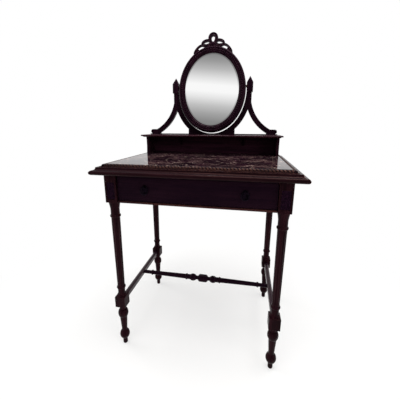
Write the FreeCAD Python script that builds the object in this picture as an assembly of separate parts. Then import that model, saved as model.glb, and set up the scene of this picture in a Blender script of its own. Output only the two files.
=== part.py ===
import FreeCAD, Part
import math
import os

from FreeCAD import Vector

# Dressing table with a marble top, one drawer and an oval tilting mirror.
# Millimetres, +Z up, the sitter's side faces -Y, origin on the floor under the middle of the top.

# Fits
RUN_GAP = 0.05
PIN_END_GAP = 1.0
SLIDE_GAP = 0.3
DRAWER_GAP = 1.0

# Overall plan
TOP_WIDTH = 688.0
TOP_DEPTH = 504.0
TABLE_HEIGHT = 740.0
SIDE_OVERHANG = 36.0
FRONT_OVERHANG = 31.0

# Leg blocks
HEAD_SIDE = 42.0
HEAD_HEIGHT = 101.0
PANEL_WIDTH = 30.0
PANEL_HEIGHT = 61.0
PANEL_RISE = 12.0
PANEL_DEPTH = 2.5
BLOCK_SIDE = 40.0
BLOCK_HEIGHT = 45.0

# Leg turning, from the floor up
TOE_DIAMETER = 18.0
TOE_HEIGHT = 24.0
BALL_DIAMETER = 38.0
BALL_HEIGHT = 40.0
ANKLE_LOW_DIAMETER = 20.5
ANKLE_HIGH_DIAMETER = 28.5
ANKLE_HEIGHT = 64.0
COLLAR_DIAMETER = 39.0
COLLAR_EDGE_DIAMETER = 30.0
COLLAR_HEIGHT = 32.0
LOW_NECK_DIAMETER = 23.0
LOW_NECK_HEIGHT = 19.0
BLOCK_SPIGOT_DIAMETER = 35.0
CUP_HEIGHT = 10.0
CUP_BULGE_DIAMETER = 34.0
NECK_DIAMETER = 26.5
NECK_HEIGHT = 22.0
LOW_RING_DIAMETER = 33.5
RING_HEIGHT = 11.0
SHAFT_LOW_DIAMETER = 27.0
SHAFT_HIGH_DIAMETER = 31.0
HIGH_RING_DIAMETER = 37.5
HIGH_NECK_DIAMETER = 31.5
HIGH_NECK_HEIGHT = 21.0
COVE_HEIGHT = 26.0
COVE_DIAMETER = 41.0
COVE_WAIST_DIAMETER = 35.5

# Stretchers
RAIL_WIDTH = 18.0
RAIL_HEIGHT = 20.0
RAIL_CROWN = 3.5
CROSS_END_DIAMETER = 16.0
CROSS_END_LENGTH = 36.0
CROSS_OUTER_RING_DIAMETER = 23.0
CROSS_RING_WIDTH = 8.0
CROSS_BAR_OUTER_DIAMETER = 17.2
CROSS_BAR_INNER_DIAMETER = 21.0
CROSS_INNER_RING_DIAMETER = 27.0
CROSS_NECK_DIAMETER = 22.0
CROSS_NECK_LENGTH = 13.0
CROSS_BULB_DIAMETER = 31.0
CROSS_BULB_LENGTH = 28.0
CROSS_WAIST_DIAMETER = 17.0
CROSS_WAIST_LENGTH = 8.0
CROSS_BLOCK_LENGTH = 44.0
CROSS_BLOCK_SIDE = 30.0
CROSS_BLOCK_CHAMFER = 7.0

# Aprons and drawer opening
APRON_THICKNESS = 20.0
APRON_SETBACK = 6.0
RAIL_SETBACK = 6.0
LOW_RAIL_HEIGHT = 7.0
HIGH_RAIL_HEIGHT = 8.0
RUNNER_WIDTH = 32.0
RUNNER_HEIGHT = 11.0
STOP_WIDTH = 40.0
STOP_LENGTH = 11.0
STOP_CENTRE = 150.0

# Drawer
DRAWER_FRONT_SETBACK = 9.0
DRAWER_FRONT_THICKNESS = 20.0
DRAWER_SIDE_THICKNESS = 11.0
DRAWER_SIDE_GAP = 3.0
DRAWER_SIDE_DROP = 8.0
DRAWER_END_GAP = 45.0
DRAWER_BACK_THICKNESS = 10.0
DRAWER_BOTTOM_THICKNESS = 6.0
DRAWER_BOTTOM_RISE = 2.0

# Drop-ring pulls
PULL_SPACING = 332.0
PULL_DROP = 52.0
PLATE_WIDTH = 24.0
PLATE_HEIGHT = 36.0
PLATE_THICKNESS = 2.5
POST_DIAMETER = 7.0
POST_LENGTH = 7.5
POST_RISE = 10.0
POST_SHANK_DIAMETER = 4.0
NUT_ACROSS_FLATS = 8.0
NUT_THICKNESS = 4.0
RING_WIRE = 3.5
RING_BAR_LENGTH = 12.0
RING_DROP = 24.0
RING_PIVOT_REACH = 4.5

# Top
MARBLE_THICKNESS = 20.0
TOP_BOARD_THICKNESS = 14.0
EDGE_NOSE_HEIGHT = 15.0
EDGE_NOSE_ROUND = 6.0
EDGE_NOSE_WIDTH = 9.0
EDGE_HOLLOW_WIDTH = 8.0
EDGE_FLAT_WIDTH = 9.0
EDGE_STEP = 2.0
BEAD_SEAT_WIDTH = 17.0
BEAD_WIDTH = 12.0
BEAD_PLINTH = 1.0
BACK_RAIL_WIDTH = 36.0
SCREW_DIAMETER = 4.0
SCREW_HEAD_DIAMETER = 8.0
SCREW_HEAD_HEIGHT = 3.0
SCREW_GRIP = 10.0
TOP_SCREW_SPACING = 240.0

# Raised shelf
GRADIN_HEIGHT = 76.0
GRADIN_SIDE_THICKNESS = 12.0
GRADIN_SIDE_DEPTH = 82.0
GRADIN_SIDE_HOLLOW = 3.0
GRADIN_BACK_THICKNESS = 12.0
GRADIN_BACK_SETBACK = 20.0
SHELF_THICKNESS = 10.0
SHELF_SIDE_LAP = 9.0
SHELF_FRONT_LAP = 43.0
SHELF_BACK_LAP = 4.0
SHELF_EDGE_WIDTH = 10.0
SHELF_HOLLOW_HEIGHT = 4.0
SHELF_NOSE_ROUND = 3.0
BRACKET_SPACING = 296.0
BRACKET_THICKNESS = 10.0
BRACKET_REACH = 34.0
BRACKET_DROP = 40.0
BRACKET_EDGE = 5.0
DOWEL_DIAMETER = 8.0
DOWEL_DEPTH = 12.0
DOWEL_SPACING = 400.0

# Oval mirror
FRAME_WIDTH = 298.0
FRAME_HEIGHT = 368.0
FRAME_MEMBER = 30.0
FRAME_FRONT = 22.0
FRAME_REAR = 8.0
FRAME_ROUND = 10.0
FRAME_LIP = 4.0
FRAME_LIP_DEPTH = 7.0
GLASS_THICKNESS = 5.0
GLASS_BEVEL_WIDTH = 5.0
GLASS_BEVEL_DEPTH = 0.5
GLASS_PLAY = 0.3
BACKBOARD_THICKNESS = 6.0
BACKBOARD_PIN_DIAMETER = 2.0
BACKBOARD_PIN_LENGTH = 9.0
BACKBOARD_PIN_COUNT = 6
PIVOT_RISE = 15.5
MIRROR_LEAN = 7.0
PIVOT_DIAMETER = 6.0
PIVOT_SEAT = 14.0
PIVOT_COLLAR_DIAMETER = 12.0
SOCKET_WALL = 2.0
SOCKET_LENGTH = 16.0

# Ribbon crest, measured from the top of the oval frame
CREST_THICKNESS = 14.0
CREST_FRONT_SETBACK = 6.0
CREST_SKIRT_HALF_WIDTH = 85.0
CREST_SKIRT_HEIGHT = 45.0
CREST_SKIRT_DROP = 30.0
CREST_LOOP_HALF_WIDTH = 21.0
CREST_LOOP_HALF_HEIGHT = 27.5
CREST_LOOP_RISE = 27.5
CREST_LOOP_RIM = 14.0
CREST_EAR_HALF_WIDTH = 24.0
CREST_EAR_HALF_HEIGHT = 14.5
CREST_EAR_OFFSET = 29.0
CREST_EAR_RISE = 11.0
CREST_EAR_HOLE_HALF_WIDTH = 11.5
CREST_EAR_HOLE_HALF_HEIGHT = 6.0
CREST_EAR_HOLE_OFFSET = 24.5
CREST_EAR_TILT = 12.0
CREST_SLIT_HALF_LENGTH = 17.0
CREST_SLIT_HALF_WIDTH = 4.0
CREST_SLIT_OFFSET = 47.0
CREST_SLIT_RISE = -7.5
CREST_SLIT_TILT = 16.0

# Lyre stand
STAND_THICKNESS = 20.0
STAND_SETBACK = 33.0
STAND_SIDE_GAP = 3.0
STAND_FOOT_GAP = 3.0
STAND_BASE_WEB = 5.5
STAND_BASE_HEIGHT = 26.0
STAND_PLINTH_HEIGHT = 4.0
STAND_PLINTH_LAP = 3.0
ARM_WIDTH = 23.0
ARM_TRUNK_DROP = 51.0
ARM_TRUNK_HEIGHT = 42.0
BRACE_WIDTH = 22.0
BRACE_CENTRE_RISE = 34.0
BRACE_END_RISE = 15.0
BRACE_TOE_INSET = 28.0
BRACE_FOOT_LENGTH = 36.0
BRACE_FOOT_HEIGHT = 20.0
BRACE_TOE_DIAMETER = 20.0
FINIAL_SIDE = 27.0
FINIAL_GAP = 3.0
FINIAL_HEIGHT = 39.0
FINIAL_POINT_HEIGHT = 27.0
STAND_SCREW_SPACING = 170.0

# Share of a quarter round that its middle point has covered
QUARTER = math.sqrt(0.5)

# Levels and faces that several pieces share
EDGE_WIDTH = EDGE_NOSE_WIDTH + EDGE_HOLLOW_WIDTH + EDGE_FLAT_WIDTH + BEAD_SEAT_WIDTH
BEAD_BOTTOM = TABLE_HEIGHT - BEAD_WIDTH / 2 - BEAD_PLINTH
TOP_UNDERSIDE = TABLE_HEIGHT - MARBLE_THICKNESS - TOP_BOARD_THICKNESS
HEAD_BOTTOM = TOP_UNDERSIDE - HEAD_HEIGHT
LEG_X = TOP_WIDTH / 2 - SIDE_OVERHANG - HEAD_SIDE / 2
LEG_Y = TOP_DEPTH / 2 - FRONT_OVERHANG - HEAD_SIDE / 2
HEAD_INNER_X = LEG_X - HEAD_SIDE / 2
HEAD_INNER_Y = LEG_Y - HEAD_SIDE / 2
HEAD_OUTER_Y = LEG_Y + HEAD_SIDE / 2
APRON_OUTER_X = LEG_X + HEAD_SIDE / 2 - APRON_SETBACK
APRON_INNER_X = APRON_OUTER_X - APRON_THICKNESS
APRON_OUTER_Y = HEAD_OUTER_Y - APRON_SETBACK
APRON_INNER_Y = APRON_OUTER_Y - APRON_THICKNESS
BLOCK_BOTTOM = TOE_HEIGHT + BALL_HEIGHT + ANKLE_HEIGHT + COLLAR_HEIGHT + LOW_NECK_HEIGHT
STRETCHER_LEVEL = BLOCK_BOTTOM + BLOCK_HEIGHT / 2

LOW_RAIL_TOP = HEAD_BOTTOM + LOW_RAIL_HEIGHT
HIGH_RAIL_BOTTOM = TOP_UNDERSIDE - HIGH_RAIL_HEIGHT
RUNNER_TOP = HEAD_BOTTOM + RUNNER_HEIGHT
KICKER_BOTTOM = HIGH_RAIL_BOTTOM - DRAWER_SIDE_DROP + DRAWER_GAP
DRAWER_FACE_Y = -(HEAD_OUTER_Y - DRAWER_FRONT_SETBACK)
DRAWER_BEHIND_FRONT = DRAWER_FACE_Y + DRAWER_FRONT_THICKNESS
DRAWER_END_Y = APRON_INNER_Y - DRAWER_END_GAP
DRAWER_OUTER_X = HEAD_INNER_X - DRAWER_SIDE_GAP
DRAWER_INNER_X = DRAWER_OUTER_X - DRAWER_SIDE_THICKNESS
DRAWER_SIDE_BOTTOM = RUNNER_TOP + SLIDE_GAP
DRAWER_SIDE_TOP = HIGH_RAIL_BOTTOM - DRAWER_SIDE_DROP
DRAWER_FLOOR_BOTTOM = DRAWER_SIDE_BOTTOM + DRAWER_BOTTOM_RISE
DRAWER_FLOOR_TOP = DRAWER_FLOOR_BOTTOM + DRAWER_BOTTOM_THICKNESS
PULL_LEVEL = TOP_UNDERSIDE - PULL_DROP
RING_LEVEL = PULL_LEVEL + POST_RISE
RING_PIVOT_Y = DRAWER_FACE_Y - PLATE_THICKNESS - RING_PIVOT_REACH

MARBLE_HALF_WIDTH = TOP_WIDTH / 2 - EDGE_WIDTH
MARBLE_FRONT_Y = -(TOP_DEPTH / 2 - EDGE_WIDTH)
MARBLE_BACK_Y = TOP_DEPTH / 2 - BACK_RAIL_WIDTH
MARBLE_BOTTOM = TABLE_HEIGHT - MARBLE_THICKNESS
KICKER_MIDDLE_X = APRON_INNER_X - RUNNER_WIDTH / 2

GRADIN_BACK_REAR = TOP_DEPTH / 2 - GRADIN_BACK_SETBACK
GRADIN_BACK_FACE = GRADIN_BACK_REAR - GRADIN_BACK_THICKNESS
GRADIN_FRONT_Y = GRADIN_BACK_REAR - GRADIN_SIDE_DEPTH
GRADIN_INNER_X = MARBLE_HALF_WIDTH - GRADIN_SIDE_THICKNESS
SHELF_BOTTOM = TABLE_HEIGHT + GRADIN_HEIGHT
SHELF_TOP = SHELF_BOTTOM + SHELF_THICKNESS
SHELF_HALF_WIDTH = MARBLE_HALF_WIDTH + SHELF_SIDE_LAP
SHELF_FRONT_Y = GRADIN_FRONT_Y - SHELF_FRONT_LAP
SHELF_BACK_Y = GRADIN_BACK_REAR + SHELF_BACK_LAP

STAND_Y = SHELF_BACK_Y - STAND_SETBACK
STAND_FRONT = STAND_Y - STAND_THICKNESS / 2
STAND_REAR = STAND_Y + STAND_THICKNESS / 2
FRAME_A = FRAME_WIDTH / 2
FRAME_B = FRAME_HEIGHT / 2
SIGHT_A = FRAME_A - FRAME_MEMBER
SIGHT_B = FRAME_B - FRAME_MEMBER
REBATE_A = SIGHT_A + FRAME_LIP
REBATE_B = SIGHT_B + FRAME_LIP
ARM_INNER_A = FRAME_A + STAND_SIDE_GAP
ARM_INNER_B = FRAME_B + STAND_FOOT_GAP
ARM_OUTER_A = ARM_INNER_A + ARM_WIDTH
ARM_OUTER_B = ARM_INNER_B + ARM_WIDTH
OVAL_LEVEL = SHELF_TOP + STAND_BASE_WEB + ARM_INNER_B
BASE_TOP = SHELF_TOP + STAND_BASE_HEIGHT
PLINTH_TOP = SHELF_TOP + STAND_PLINTH_HEIGHT
TRUNK_BOTTOM = OVAL_LEVEL - ARM_TRUNK_DROP
TRUNK_TOP = TRUNK_BOTTOM + ARM_TRUNK_HEIGHT
PIVOT_LEVEL = OVAL_LEVEL + PIVOT_RISE
FRAME_EDGE_AT_PIVOT = FRAME_A * math.sqrt(1 - (PIVOT_RISE / FRAME_B) ** 2)
FINIAL_INNER_X = FRAME_A + FINIAL_GAP
FRAME_FRONT_Y = STAND_Y - FRAME_FRONT
FRAME_REAR_Y = STAND_Y + FRAME_REAR
GLASS_FRONT_Y = FRAME_FRONT_Y + FRAME_LIP_DEPTH
GLASS_REAR_Y = GLASS_FRONT_Y + GLASS_THICKNESS
BACKBOARD_REAR_Y = GLASS_REAR_Y + BACKBOARD_THICKNESS
CREST_LEVEL = OVAL_LEVEL + FRAME_B
BRACE_TOE_X = SHELF_HALF_WIDTH - BRACE_TOE_INSET
BRACE_SPREAD = BRACE_TOE_X - ARM_OUTER_A
BRACE_CENTRE_Z = TRUNK_BOTTOM + BRACE_CENTRE_RISE
BRACE_FALL = BRACE_CENTRE_Z - SHELF_TOP - BRACE_END_RISE
BRACE_REACH = (BRACE_SPREAD + (BRACE_FALL ** 2 - BRACE_CENTRE_RISE ** 2) / BRACE_SPREAD) / 2
BRACE_CENTRE_X = ARM_OUTER_A + BRACE_REACH
BRACE_RADIUS = math.hypot(BRACE_REACH, BRACE_CENTRE_RISE)


# Basic solids

def block(x0, x1, y0, y1, z0, z1):
    """Box between two corners."""
    return Part.makeBox(x1 - x0, y1 - y0, z1 - z0, Vector(x0, y0, z0))


def rod(diameter, start, direction, length):
    """Round bar from a point along a direction."""
    return Part.makeCylinder(diameter / 2, length, start, direction)


def mirrored(shape):
    """The same piece on the other side of the table."""
    return shape.mirror(Vector(0, 0, 0), Vector(1, 0, 0))


def outline(place, start, steps):
    """Closed face through a start point and steps: a point, or a pair of via point and point."""
    edges = []
    here = start
    for step in steps + [start]:
        if isinstance(step[0], tuple):
            via, there = step
            edges.append(Part.Arc(place(*here), place(*via), place(*there)).toShape())
        else:
            there = step
            edges.append(Part.LineSegment(place(*here), place(*there)).toShape())
        here = there
    return Part.Face(Part.Wire(edges))


def hollow(start, end):
    """Step of an outline: a quarter hollow that leaves start level and reaches end upright."""
    via = (start[0] + (end[0] - start[0]) * QUARTER, start[1] + (end[1] - start[1]) * (1 - QUARTER))
    return via, end


def rounded(start, end):
    """Step of an outline: a quarter round that leaves start upright and reaches end level."""
    via = (start[0] + (end[0] - start[0]) * (1 - QUARTER), start[1] + (end[1] - start[1]) * QUARTER)
    return via, end


def turned(sections):
    """Turning about Z from stacked sections of height, low radius, bulge radius or None, high radius."""
    steps = []
    level = 0.0
    radius = 0.0
    for height, low, bulge, high in sections:
        if low != radius:
            steps.append((low, level))
        if bulge is None:
            steps.append((high, level + height))
        else:
            steps.append(((bulge, level + height / 2), (high, level + height)))
        level += height
        radius = high
    steps.append((0.0, level))
    face = outline(lambda r, z: Vector(r, 0, z), (0.0, 0.0), steps)
    return face.revolve(Vector(0, 0, 0), Vector(0, 0, 1), 360)


def oval_wire(half_width, half_height, y, x=0.0, z=OVAL_LEVEL):
    """Upright oval in a plane across the table."""
    middle = Vector(x, y, z)
    side = middle + Vector(half_width, 0, 0)
    crown = middle + Vector(0, 0, half_height)
    ends = (crown, side) if half_height > half_width else (side, crown)
    return Part.Wire(Part.Ellipse(ends[0], ends[1], middle).toShape())


def oval_plate(half_width, half_height, y0, y1, x=0.0, z=OVAL_LEVEL, tilt=0.0):
    """Oval plate between two planes, turned by tilt degrees about its own middle."""
    wire = oval_wire(half_width, half_height, y0, x, z)
    plate = Part.Face(wire).extrude(Vector(0, y1 - y0, 0))
    plate.rotate(Vector(x, y0, z), Vector(0, 1, 0), tilt)
    return plate


def oval_tube(sections):
    """Solid through ovals given as half width, half height and y."""
    return Part.makeLoft([oval_wire(a, b, y) for a, b, y in sections], True, True)


# Legs and stretchers

def leg_turning():
    """Turned foot, shaft and necks of a leg, up to the head block."""
    below_shaft = BLOCK_BOTTOM + BLOCK_HEIGHT + CUP_HEIGHT + NECK_HEIGHT + RING_HEIGHT
    above_shaft = RING_HEIGHT + HIGH_NECK_HEIGHT + COVE_HEIGHT
    shaft_height = HEAD_BOTTOM - below_shaft - above_shaft
    toe = TOE_DIAMETER / 2
    ankle = ANKLE_LOW_DIAMETER / 2
    collar = COLLAR_EDGE_DIAMETER / 2
    low_neck = LOW_NECK_DIAMETER / 2
    spigot = BLOCK_SPIGOT_DIAMETER / 2
    neck = NECK_DIAMETER / 2
    low_shaft = SHAFT_LOW_DIAMETER / 2
    high_shaft = SHAFT_HIGH_DIAMETER / 2
    high_neck = HIGH_NECK_DIAMETER / 2
    cove = COVE_DIAMETER / 2
    return turned([
        (TOE_HEIGHT, toe, None, toe),
        (BALL_HEIGHT, toe, BALL_DIAMETER / 2, ankle),
        (ANKLE_HEIGHT, ankle, None, ANKLE_HIGH_DIAMETER / 2),
        (COLLAR_HEIGHT, collar, COLLAR_DIAMETER / 2, collar),
        (LOW_NECK_HEIGHT, low_neck, None, low_neck),
        (BLOCK_HEIGHT, spigot, None, spigot),
        (CUP_HEIGHT, spigot, CUP_BULGE_DIAMETER / 2, neck),
        (NECK_HEIGHT, neck, None, neck),
        (RING_HEIGHT, low_shaft, LOW_RING_DIAMETER / 2, low_shaft),
        (shaft_height, low_shaft, None, high_shaft),
        (RING_HEIGHT, high_shaft, HIGH_RING_DIAMETER / 2, high_neck),
        (HIGH_NECK_HEIGHT, high_neck, None, high_neck),
        (COVE_HEIGHT, high_neck, COVE_WAIST_DIAMETER / 2, cove),
    ])


def leg(side, end):
    """One leg; side is -1 left or 1 right, end is -1 front or 1 back."""
    half_head = HEAD_SIDE / 2
    half_block = BLOCK_SIDE / 2
    head = block(-half_head, half_head, -half_head, half_head, HEAD_BOTTOM, TOP_UNDERSIDE)
    low = block(-half_block, half_block, -half_block, half_block, BLOCK_BOTTOM, BLOCK_BOTTOM + BLOCK_HEIGHT)
    shape = leg_turning().fuse([head, low]).removeSplitter()
    if end < 0:
        panel_bottom = HEAD_BOTTOM + PANEL_RISE
        sunk = block(-PANEL_WIDTH / 2, PANEL_WIDTH / 2, -half_head, -half_head + PANEL_DEPTH,
                     panel_bottom, panel_bottom + PANEL_HEIGHT)
        shape = shape.cut(sunk)
    shape.translate(Vector(side * LEG_X, end * LEG_Y, 0))
    return shape


def side_stretcher():
    """Rail with a rounded top between the low blocks of a front and a back leg, on the right."""
    half = RAIL_WIDTH / 2
    reach = LEG_Y - BLOCK_SIDE / 2
    low = STRETCHER_LEVEL - RAIL_HEIGHT / 2
    crown = STRETCHER_LEVEL + RAIL_HEIGHT / 2
    shoulder = crown - RAIL_CROWN
    face = outline(lambda x, z: Vector(LEG_X + x, -reach, z), (-half, low),
                   [(half, low), (half, shoulder), ((0.0, crown), (-half, shoulder))])
    return face.extrude(Vector(0, 2 * reach, 0))


def cross_stretcher():
    """Turned rail between the side stretchers with a chamfered block in the middle."""
    end = CROSS_END_DIAMETER / 2
    outer = CROSS_BAR_OUTER_DIAMETER / 2
    inner = CROSS_BAR_INNER_DIAMETER / 2
    neck = CROSS_NECK_DIAMETER / 2
    waist = CROSS_WAIST_DIAMETER / 2
    half_length = LEG_X - RAIL_WIDTH / 2
    turned_middle = CROSS_NECK_LENGTH + CROSS_BULB_LENGTH + CROSS_WAIST_LENGTH + CROSS_BLOCK_LENGTH / 2
    half = turned([
        (CROSS_END_LENGTH, end, None, end),
        (CROSS_RING_WIDTH, end, CROSS_OUTER_RING_DIAMETER / 2, outer),
        (half_length - CROSS_END_LENGTH - 2 * CROSS_RING_WIDTH - turned_middle, outer, None, inner),
        (CROSS_RING_WIDTH, inner, CROSS_INNER_RING_DIAMETER / 2, neck),
        (CROSS_NECK_LENGTH, neck, None, neck),
        (CROSS_BULB_LENGTH, neck, CROSS_BULB_DIAMETER / 2, waist),
        (CROSS_WAIST_LENGTH + CROSS_BLOCK_LENGTH / 2, waist, None, waist),
    ])
    half.rotate(Vector(0, 0, 0), Vector(0, 1, 0), 90)
    half.translate(Vector(-half_length, 0, STRETCHER_LEVEL))
    reach = CROSS_BLOCK_LENGTH / 2
    flat = CROSS_BLOCK_SIDE / 2
    middle = block(-reach, reach, -flat, flat, STRETCHER_LEVEL - flat, STRETCHER_LEVEL + flat)
    middle = middle.makeChamfer(CROSS_BLOCK_CHAMFER, middle.Edges)
    return half.fuse([mirrored(half), middle]).removeSplitter()


# Aprons and drawer carriage

def side_apron():
    """Board between the right-hand legs."""
    return block(APRON_INNER_X, APRON_OUTER_X, -HEAD_INNER_Y, HEAD_INNER_Y, HEAD_BOTTOM, TOP_UNDERSIDE)


def back_apron():
    """Board between the back legs."""
    return block(-HEAD_INNER_X, HEAD_INNER_X, APRON_INNER_Y, APRON_OUTER_Y, HEAD_BOTTOM, TOP_UNDERSIDE)


def front_rail(low, high):
    """Thin rail between the front legs."""
    return block(-HEAD_INNER_X, HEAD_INNER_X, -HEAD_OUTER_Y + RAIL_SETBACK, -HEAD_INNER_Y, low, high)


def runner():
    """Strip under the right side of the drawer."""
    return block(APRON_INNER_X - RUNNER_WIDTH, APRON_INNER_X, -HEAD_INNER_Y, HEAD_INNER_Y,
                 HEAD_BOTTOM, RUNNER_TOP)


def top_screw_places():
    """Plan positions of the screws that hold the top, on the right."""
    return [Vector(KICKER_MIDDLE_X, end * TOP_SCREW_SPACING / 2, 0) for end in (-1, 1)]


def screw(foot, length, clearance):
    """Cheese-headed screw pointing up from its head at foot."""
    head = rod(SCREW_HEAD_DIAMETER + 2 * clearance, foot, Vector(0, 0, 1), SCREW_HEAD_HEIGHT)
    return head.fuse(rod(SCREW_DIAMETER + 2 * clearance, foot, Vector(0, 0, 1), length)).removeSplitter()


def top_screws(clearance=0.0):
    """Right-hand screws through the kicker into the top board."""
    length = TOP_UNDERSIDE - KICKER_BOTTOM + SCREW_GRIP
    foot = Vector(0, 0, KICKER_BOTTOM)
    return [screw(place + foot, length + clearance, clearance) for place in top_screw_places()]


def kicker():
    """Strip over the right side of the drawer, which also takes the screws of the top."""
    strip = block(APRON_INNER_X - RUNNER_WIDTH, APRON_INNER_X, -HEAD_INNER_Y, HEAD_INNER_Y,
                  KICKER_BOTTOM, TOP_UNDERSIDE)
    return strip.cut(top_screws(RUN_GAP))


def drawer_stop():
    """Small block on the low rail that the right half of the drawer front meets."""
    near = DRAWER_BEHIND_FRONT + SLIDE_GAP
    return block(STOP_CENTRE - STOP_WIDTH / 2, STOP_CENTRE + STOP_WIDTH / 2, near, near + STOP_LENGTH,
                 LOW_RAIL_TOP, DRAWER_FLOOR_BOTTOM - DRAWER_GAP)


# Drawer and pulls

def pull_places():
    """Points on the drawer face behind the two ring pivots."""
    return [Vector(side * PULL_SPACING / 2, DRAWER_FACE_Y, RING_LEVEL) for side in (-1, 1)]


def drawer_front():
    """Solid front with a hole for each pull."""
    half = HEAD_INNER_X - DRAWER_GAP
    board = block(-half, half, DRAWER_FACE_Y, DRAWER_BEHIND_FRONT,
                  LOW_RAIL_TOP + DRAWER_GAP, HIGH_RAIL_BOTTOM - DRAWER_GAP)
    hole = POST_SHANK_DIAMETER + 2 * RUN_GAP
    return board.cut([rod(hole, place, Vector(0, 1, 0), DRAWER_FRONT_THICKNESS) for place in pull_places()])


def drawer_side():
    """Right side of the drawer box."""
    return block(DRAWER_INNER_X, DRAWER_OUTER_X, DRAWER_BEHIND_FRONT, DRAWER_END_Y,
                 DRAWER_SIDE_BOTTOM, DRAWER_SIDE_TOP)


def drawer_back():
    """Back of the drawer box, standing on its bottom."""
    return block(-DRAWER_INNER_X, DRAWER_INNER_X, DRAWER_END_Y - DRAWER_BACK_THICKNESS, DRAWER_END_Y,
                 DRAWER_FLOOR_TOP, DRAWER_SIDE_TOP)


def drawer_bottom():
    """Bottom board between the sides."""
    return block(-DRAWER_INNER_X, DRAWER_INNER_X, DRAWER_BEHIND_FRONT, DRAWER_END_Y,
                 DRAWER_FLOOR_BOTTOM, DRAWER_FLOOR_TOP)


def pull_plate(place):
    """Oval back plate."""
    plate = oval_plate(PLATE_WIDTH / 2, PLATE_HEIGHT / 2, DRAWER_FACE_Y - PLATE_THICKNESS, DRAWER_FACE_Y,
                       place.x, PULL_LEVEL)
    hole = POST_SHANK_DIAMETER + 2 * RUN_GAP
    return plate.cut(rod(hole, place, Vector(0, -1, 0), PLATE_THICKNESS))


def pull_post(place):
    """Post with an eye for the ring and a shank through the drawer front."""
    seat = place - Vector(0, PLATE_THICKNESS, 0)
    post = rod(POST_DIAMETER, seat, Vector(0, -1, 0), POST_LENGTH)
    shank_length = PLATE_THICKNESS + DRAWER_FRONT_THICKNESS + NUT_THICKNESS
    shank = rod(POST_SHANK_DIAMETER, seat, Vector(0, 1, 0), shank_length)
    eye_start = Vector(place.x - POST_DIAMETER, RING_PIVOT_Y, RING_LEVEL)
    eye = rod(RING_WIRE + 2 * RUN_GAP, eye_start, Vector(1, 0, 0), 2 * POST_DIAMETER)
    return post.fuse(shank).removeSplitter().cut(eye)


def pull_nut(place):
    """Hexagon nut behind the drawer front."""
    radius = NUT_ACROSS_FLATS / math.sqrt(3)
    behind = place + Vector(0, DRAWER_FRONT_THICKNESS, 0)
    corners = [behind + Vector(radius * math.cos(k * math.pi / 3), 0, radius * math.sin(k * math.pi / 3))
               for k in range(7)]
    nut = Part.Face(Part.makePolygon(corners)).extrude(Vector(0, NUT_THICKNESS, 0))
    hole = POST_SHANK_DIAMETER + 2 * RUN_GAP
    return nut.cut(rod(hole, behind, Vector(0, 1, 0), NUT_THICKNESS))


def pull_ring(place):
    """Drop ring: a round loop closed at the top by the bar that turns in the post."""
    half_bar = RING_BAR_LENGTH / 2
    loop_radius = (RING_DROP + half_bar ** 2 / RING_DROP) / 2
    middle = Vector(place.x, RING_PIVOT_Y, RING_LEVEL - RING_DROP + loop_radius)
    loop = Part.makeTorus(loop_radius, RING_WIRE / 2, middle, Vector(0, 1, 0))
    above = block(place.x - RING_DROP, place.x + RING_DROP,
                  RING_PIVOT_Y - RING_WIRE, RING_PIVOT_Y + RING_WIRE,
                  RING_LEVEL, RING_LEVEL + RING_DROP)
    bar_start = Vector(place.x - half_bar, RING_PIVOT_Y, RING_LEVEL)
    bar = rod(RING_WIRE, bar_start, Vector(1, 0, 0), RING_BAR_LENGTH)
    knuckles = [Part.makeSphere(RING_WIRE / 2, bar_start + Vector(along, 0, 0))
                for along in (0, RING_BAR_LENGTH)]
    return loop.cut(above).fuse([bar] + knuckles).removeSplitter()


# Top

def edge_section(place):
    """Moulded edge from the tip inwards: nosing, hollow, flat and the seat of the bead."""
    low = TOP_UNDERSIDE
    nose_top = low + EDGE_NOSE_HEIGHT
    flat_level = BEAD_BOTTOM - EDGE_STEP
    flat_start = EDGE_NOSE_WIDTH + EDGE_HOLLOW_WIDTH
    flat_end = flat_start + EDGE_FLAT_WIDTH
    return outline(place, (EDGE_WIDTH, low), [
        (EDGE_NOSE_ROUND, low),
        ((0.0, low + EDGE_NOSE_HEIGHT / 2), (EDGE_NOSE_ROUND, nose_top)),
        (EDGE_NOSE_WIDTH, nose_top),
        hollow((EDGE_NOSE_WIDTH, nose_top), (flat_start, flat_level)),
        (flat_end, flat_level),
        (flat_end, BEAD_BOTTOM),
        (EDGE_WIDTH, BEAD_BOTTOM),
    ])


def bead_section(place):
    """Half-round bead on a low plinth, between the moulded edge and the marble."""
    outer = EDGE_WIDTH - BEAD_WIDTH
    spring = BEAD_BOTTOM + BEAD_PLINTH
    return outline(place, (outer, BEAD_BOTTOM), [
        (EDGE_WIDTH, BEAD_BOTTOM),
        (EDGE_WIDTH, spring),
        ((outer + BEAD_WIDTH / 2, TABLE_HEIGHT), (outer, spring)),
    ])


def mitre_prism(corners):
    """Tall prism over a plan outline, which trims moulding lengths."""
    points = [Vector(x, y, TOP_UNDERSIDE) for x, y in corners]
    face = Part.Face(Part.makePolygon(points + points[:1]))
    return face.extrude(Vector(0, 0, SHELF_TOP - TOP_UNDERSIDE))


def front_run(section, half_width, front, width):
    """Moulding along a front edge, mitred at both ends."""
    face = section(lambda t, z: Vector(-half_width, front + t, z))
    inner = half_width - width
    behind = front + width
    trim = mitre_prism([(-half_width, front), (half_width, front), (inner, behind), (-inner, behind)])
    return face.extrude(Vector(2 * half_width, 0, 0)).common(trim)


def side_run(section, half_width, front, back, width):
    """Moulding along the right edge, mitred at its front end."""
    face = section(lambda t, z: Vector(half_width - t, front, z))
    inner = half_width - width
    trim = mitre_prism([(half_width, front), (half_width, back), (inner, back), (inner, front + width)])
    return face.extrude(Vector(0, back - front, 0)).common(trim)


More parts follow.
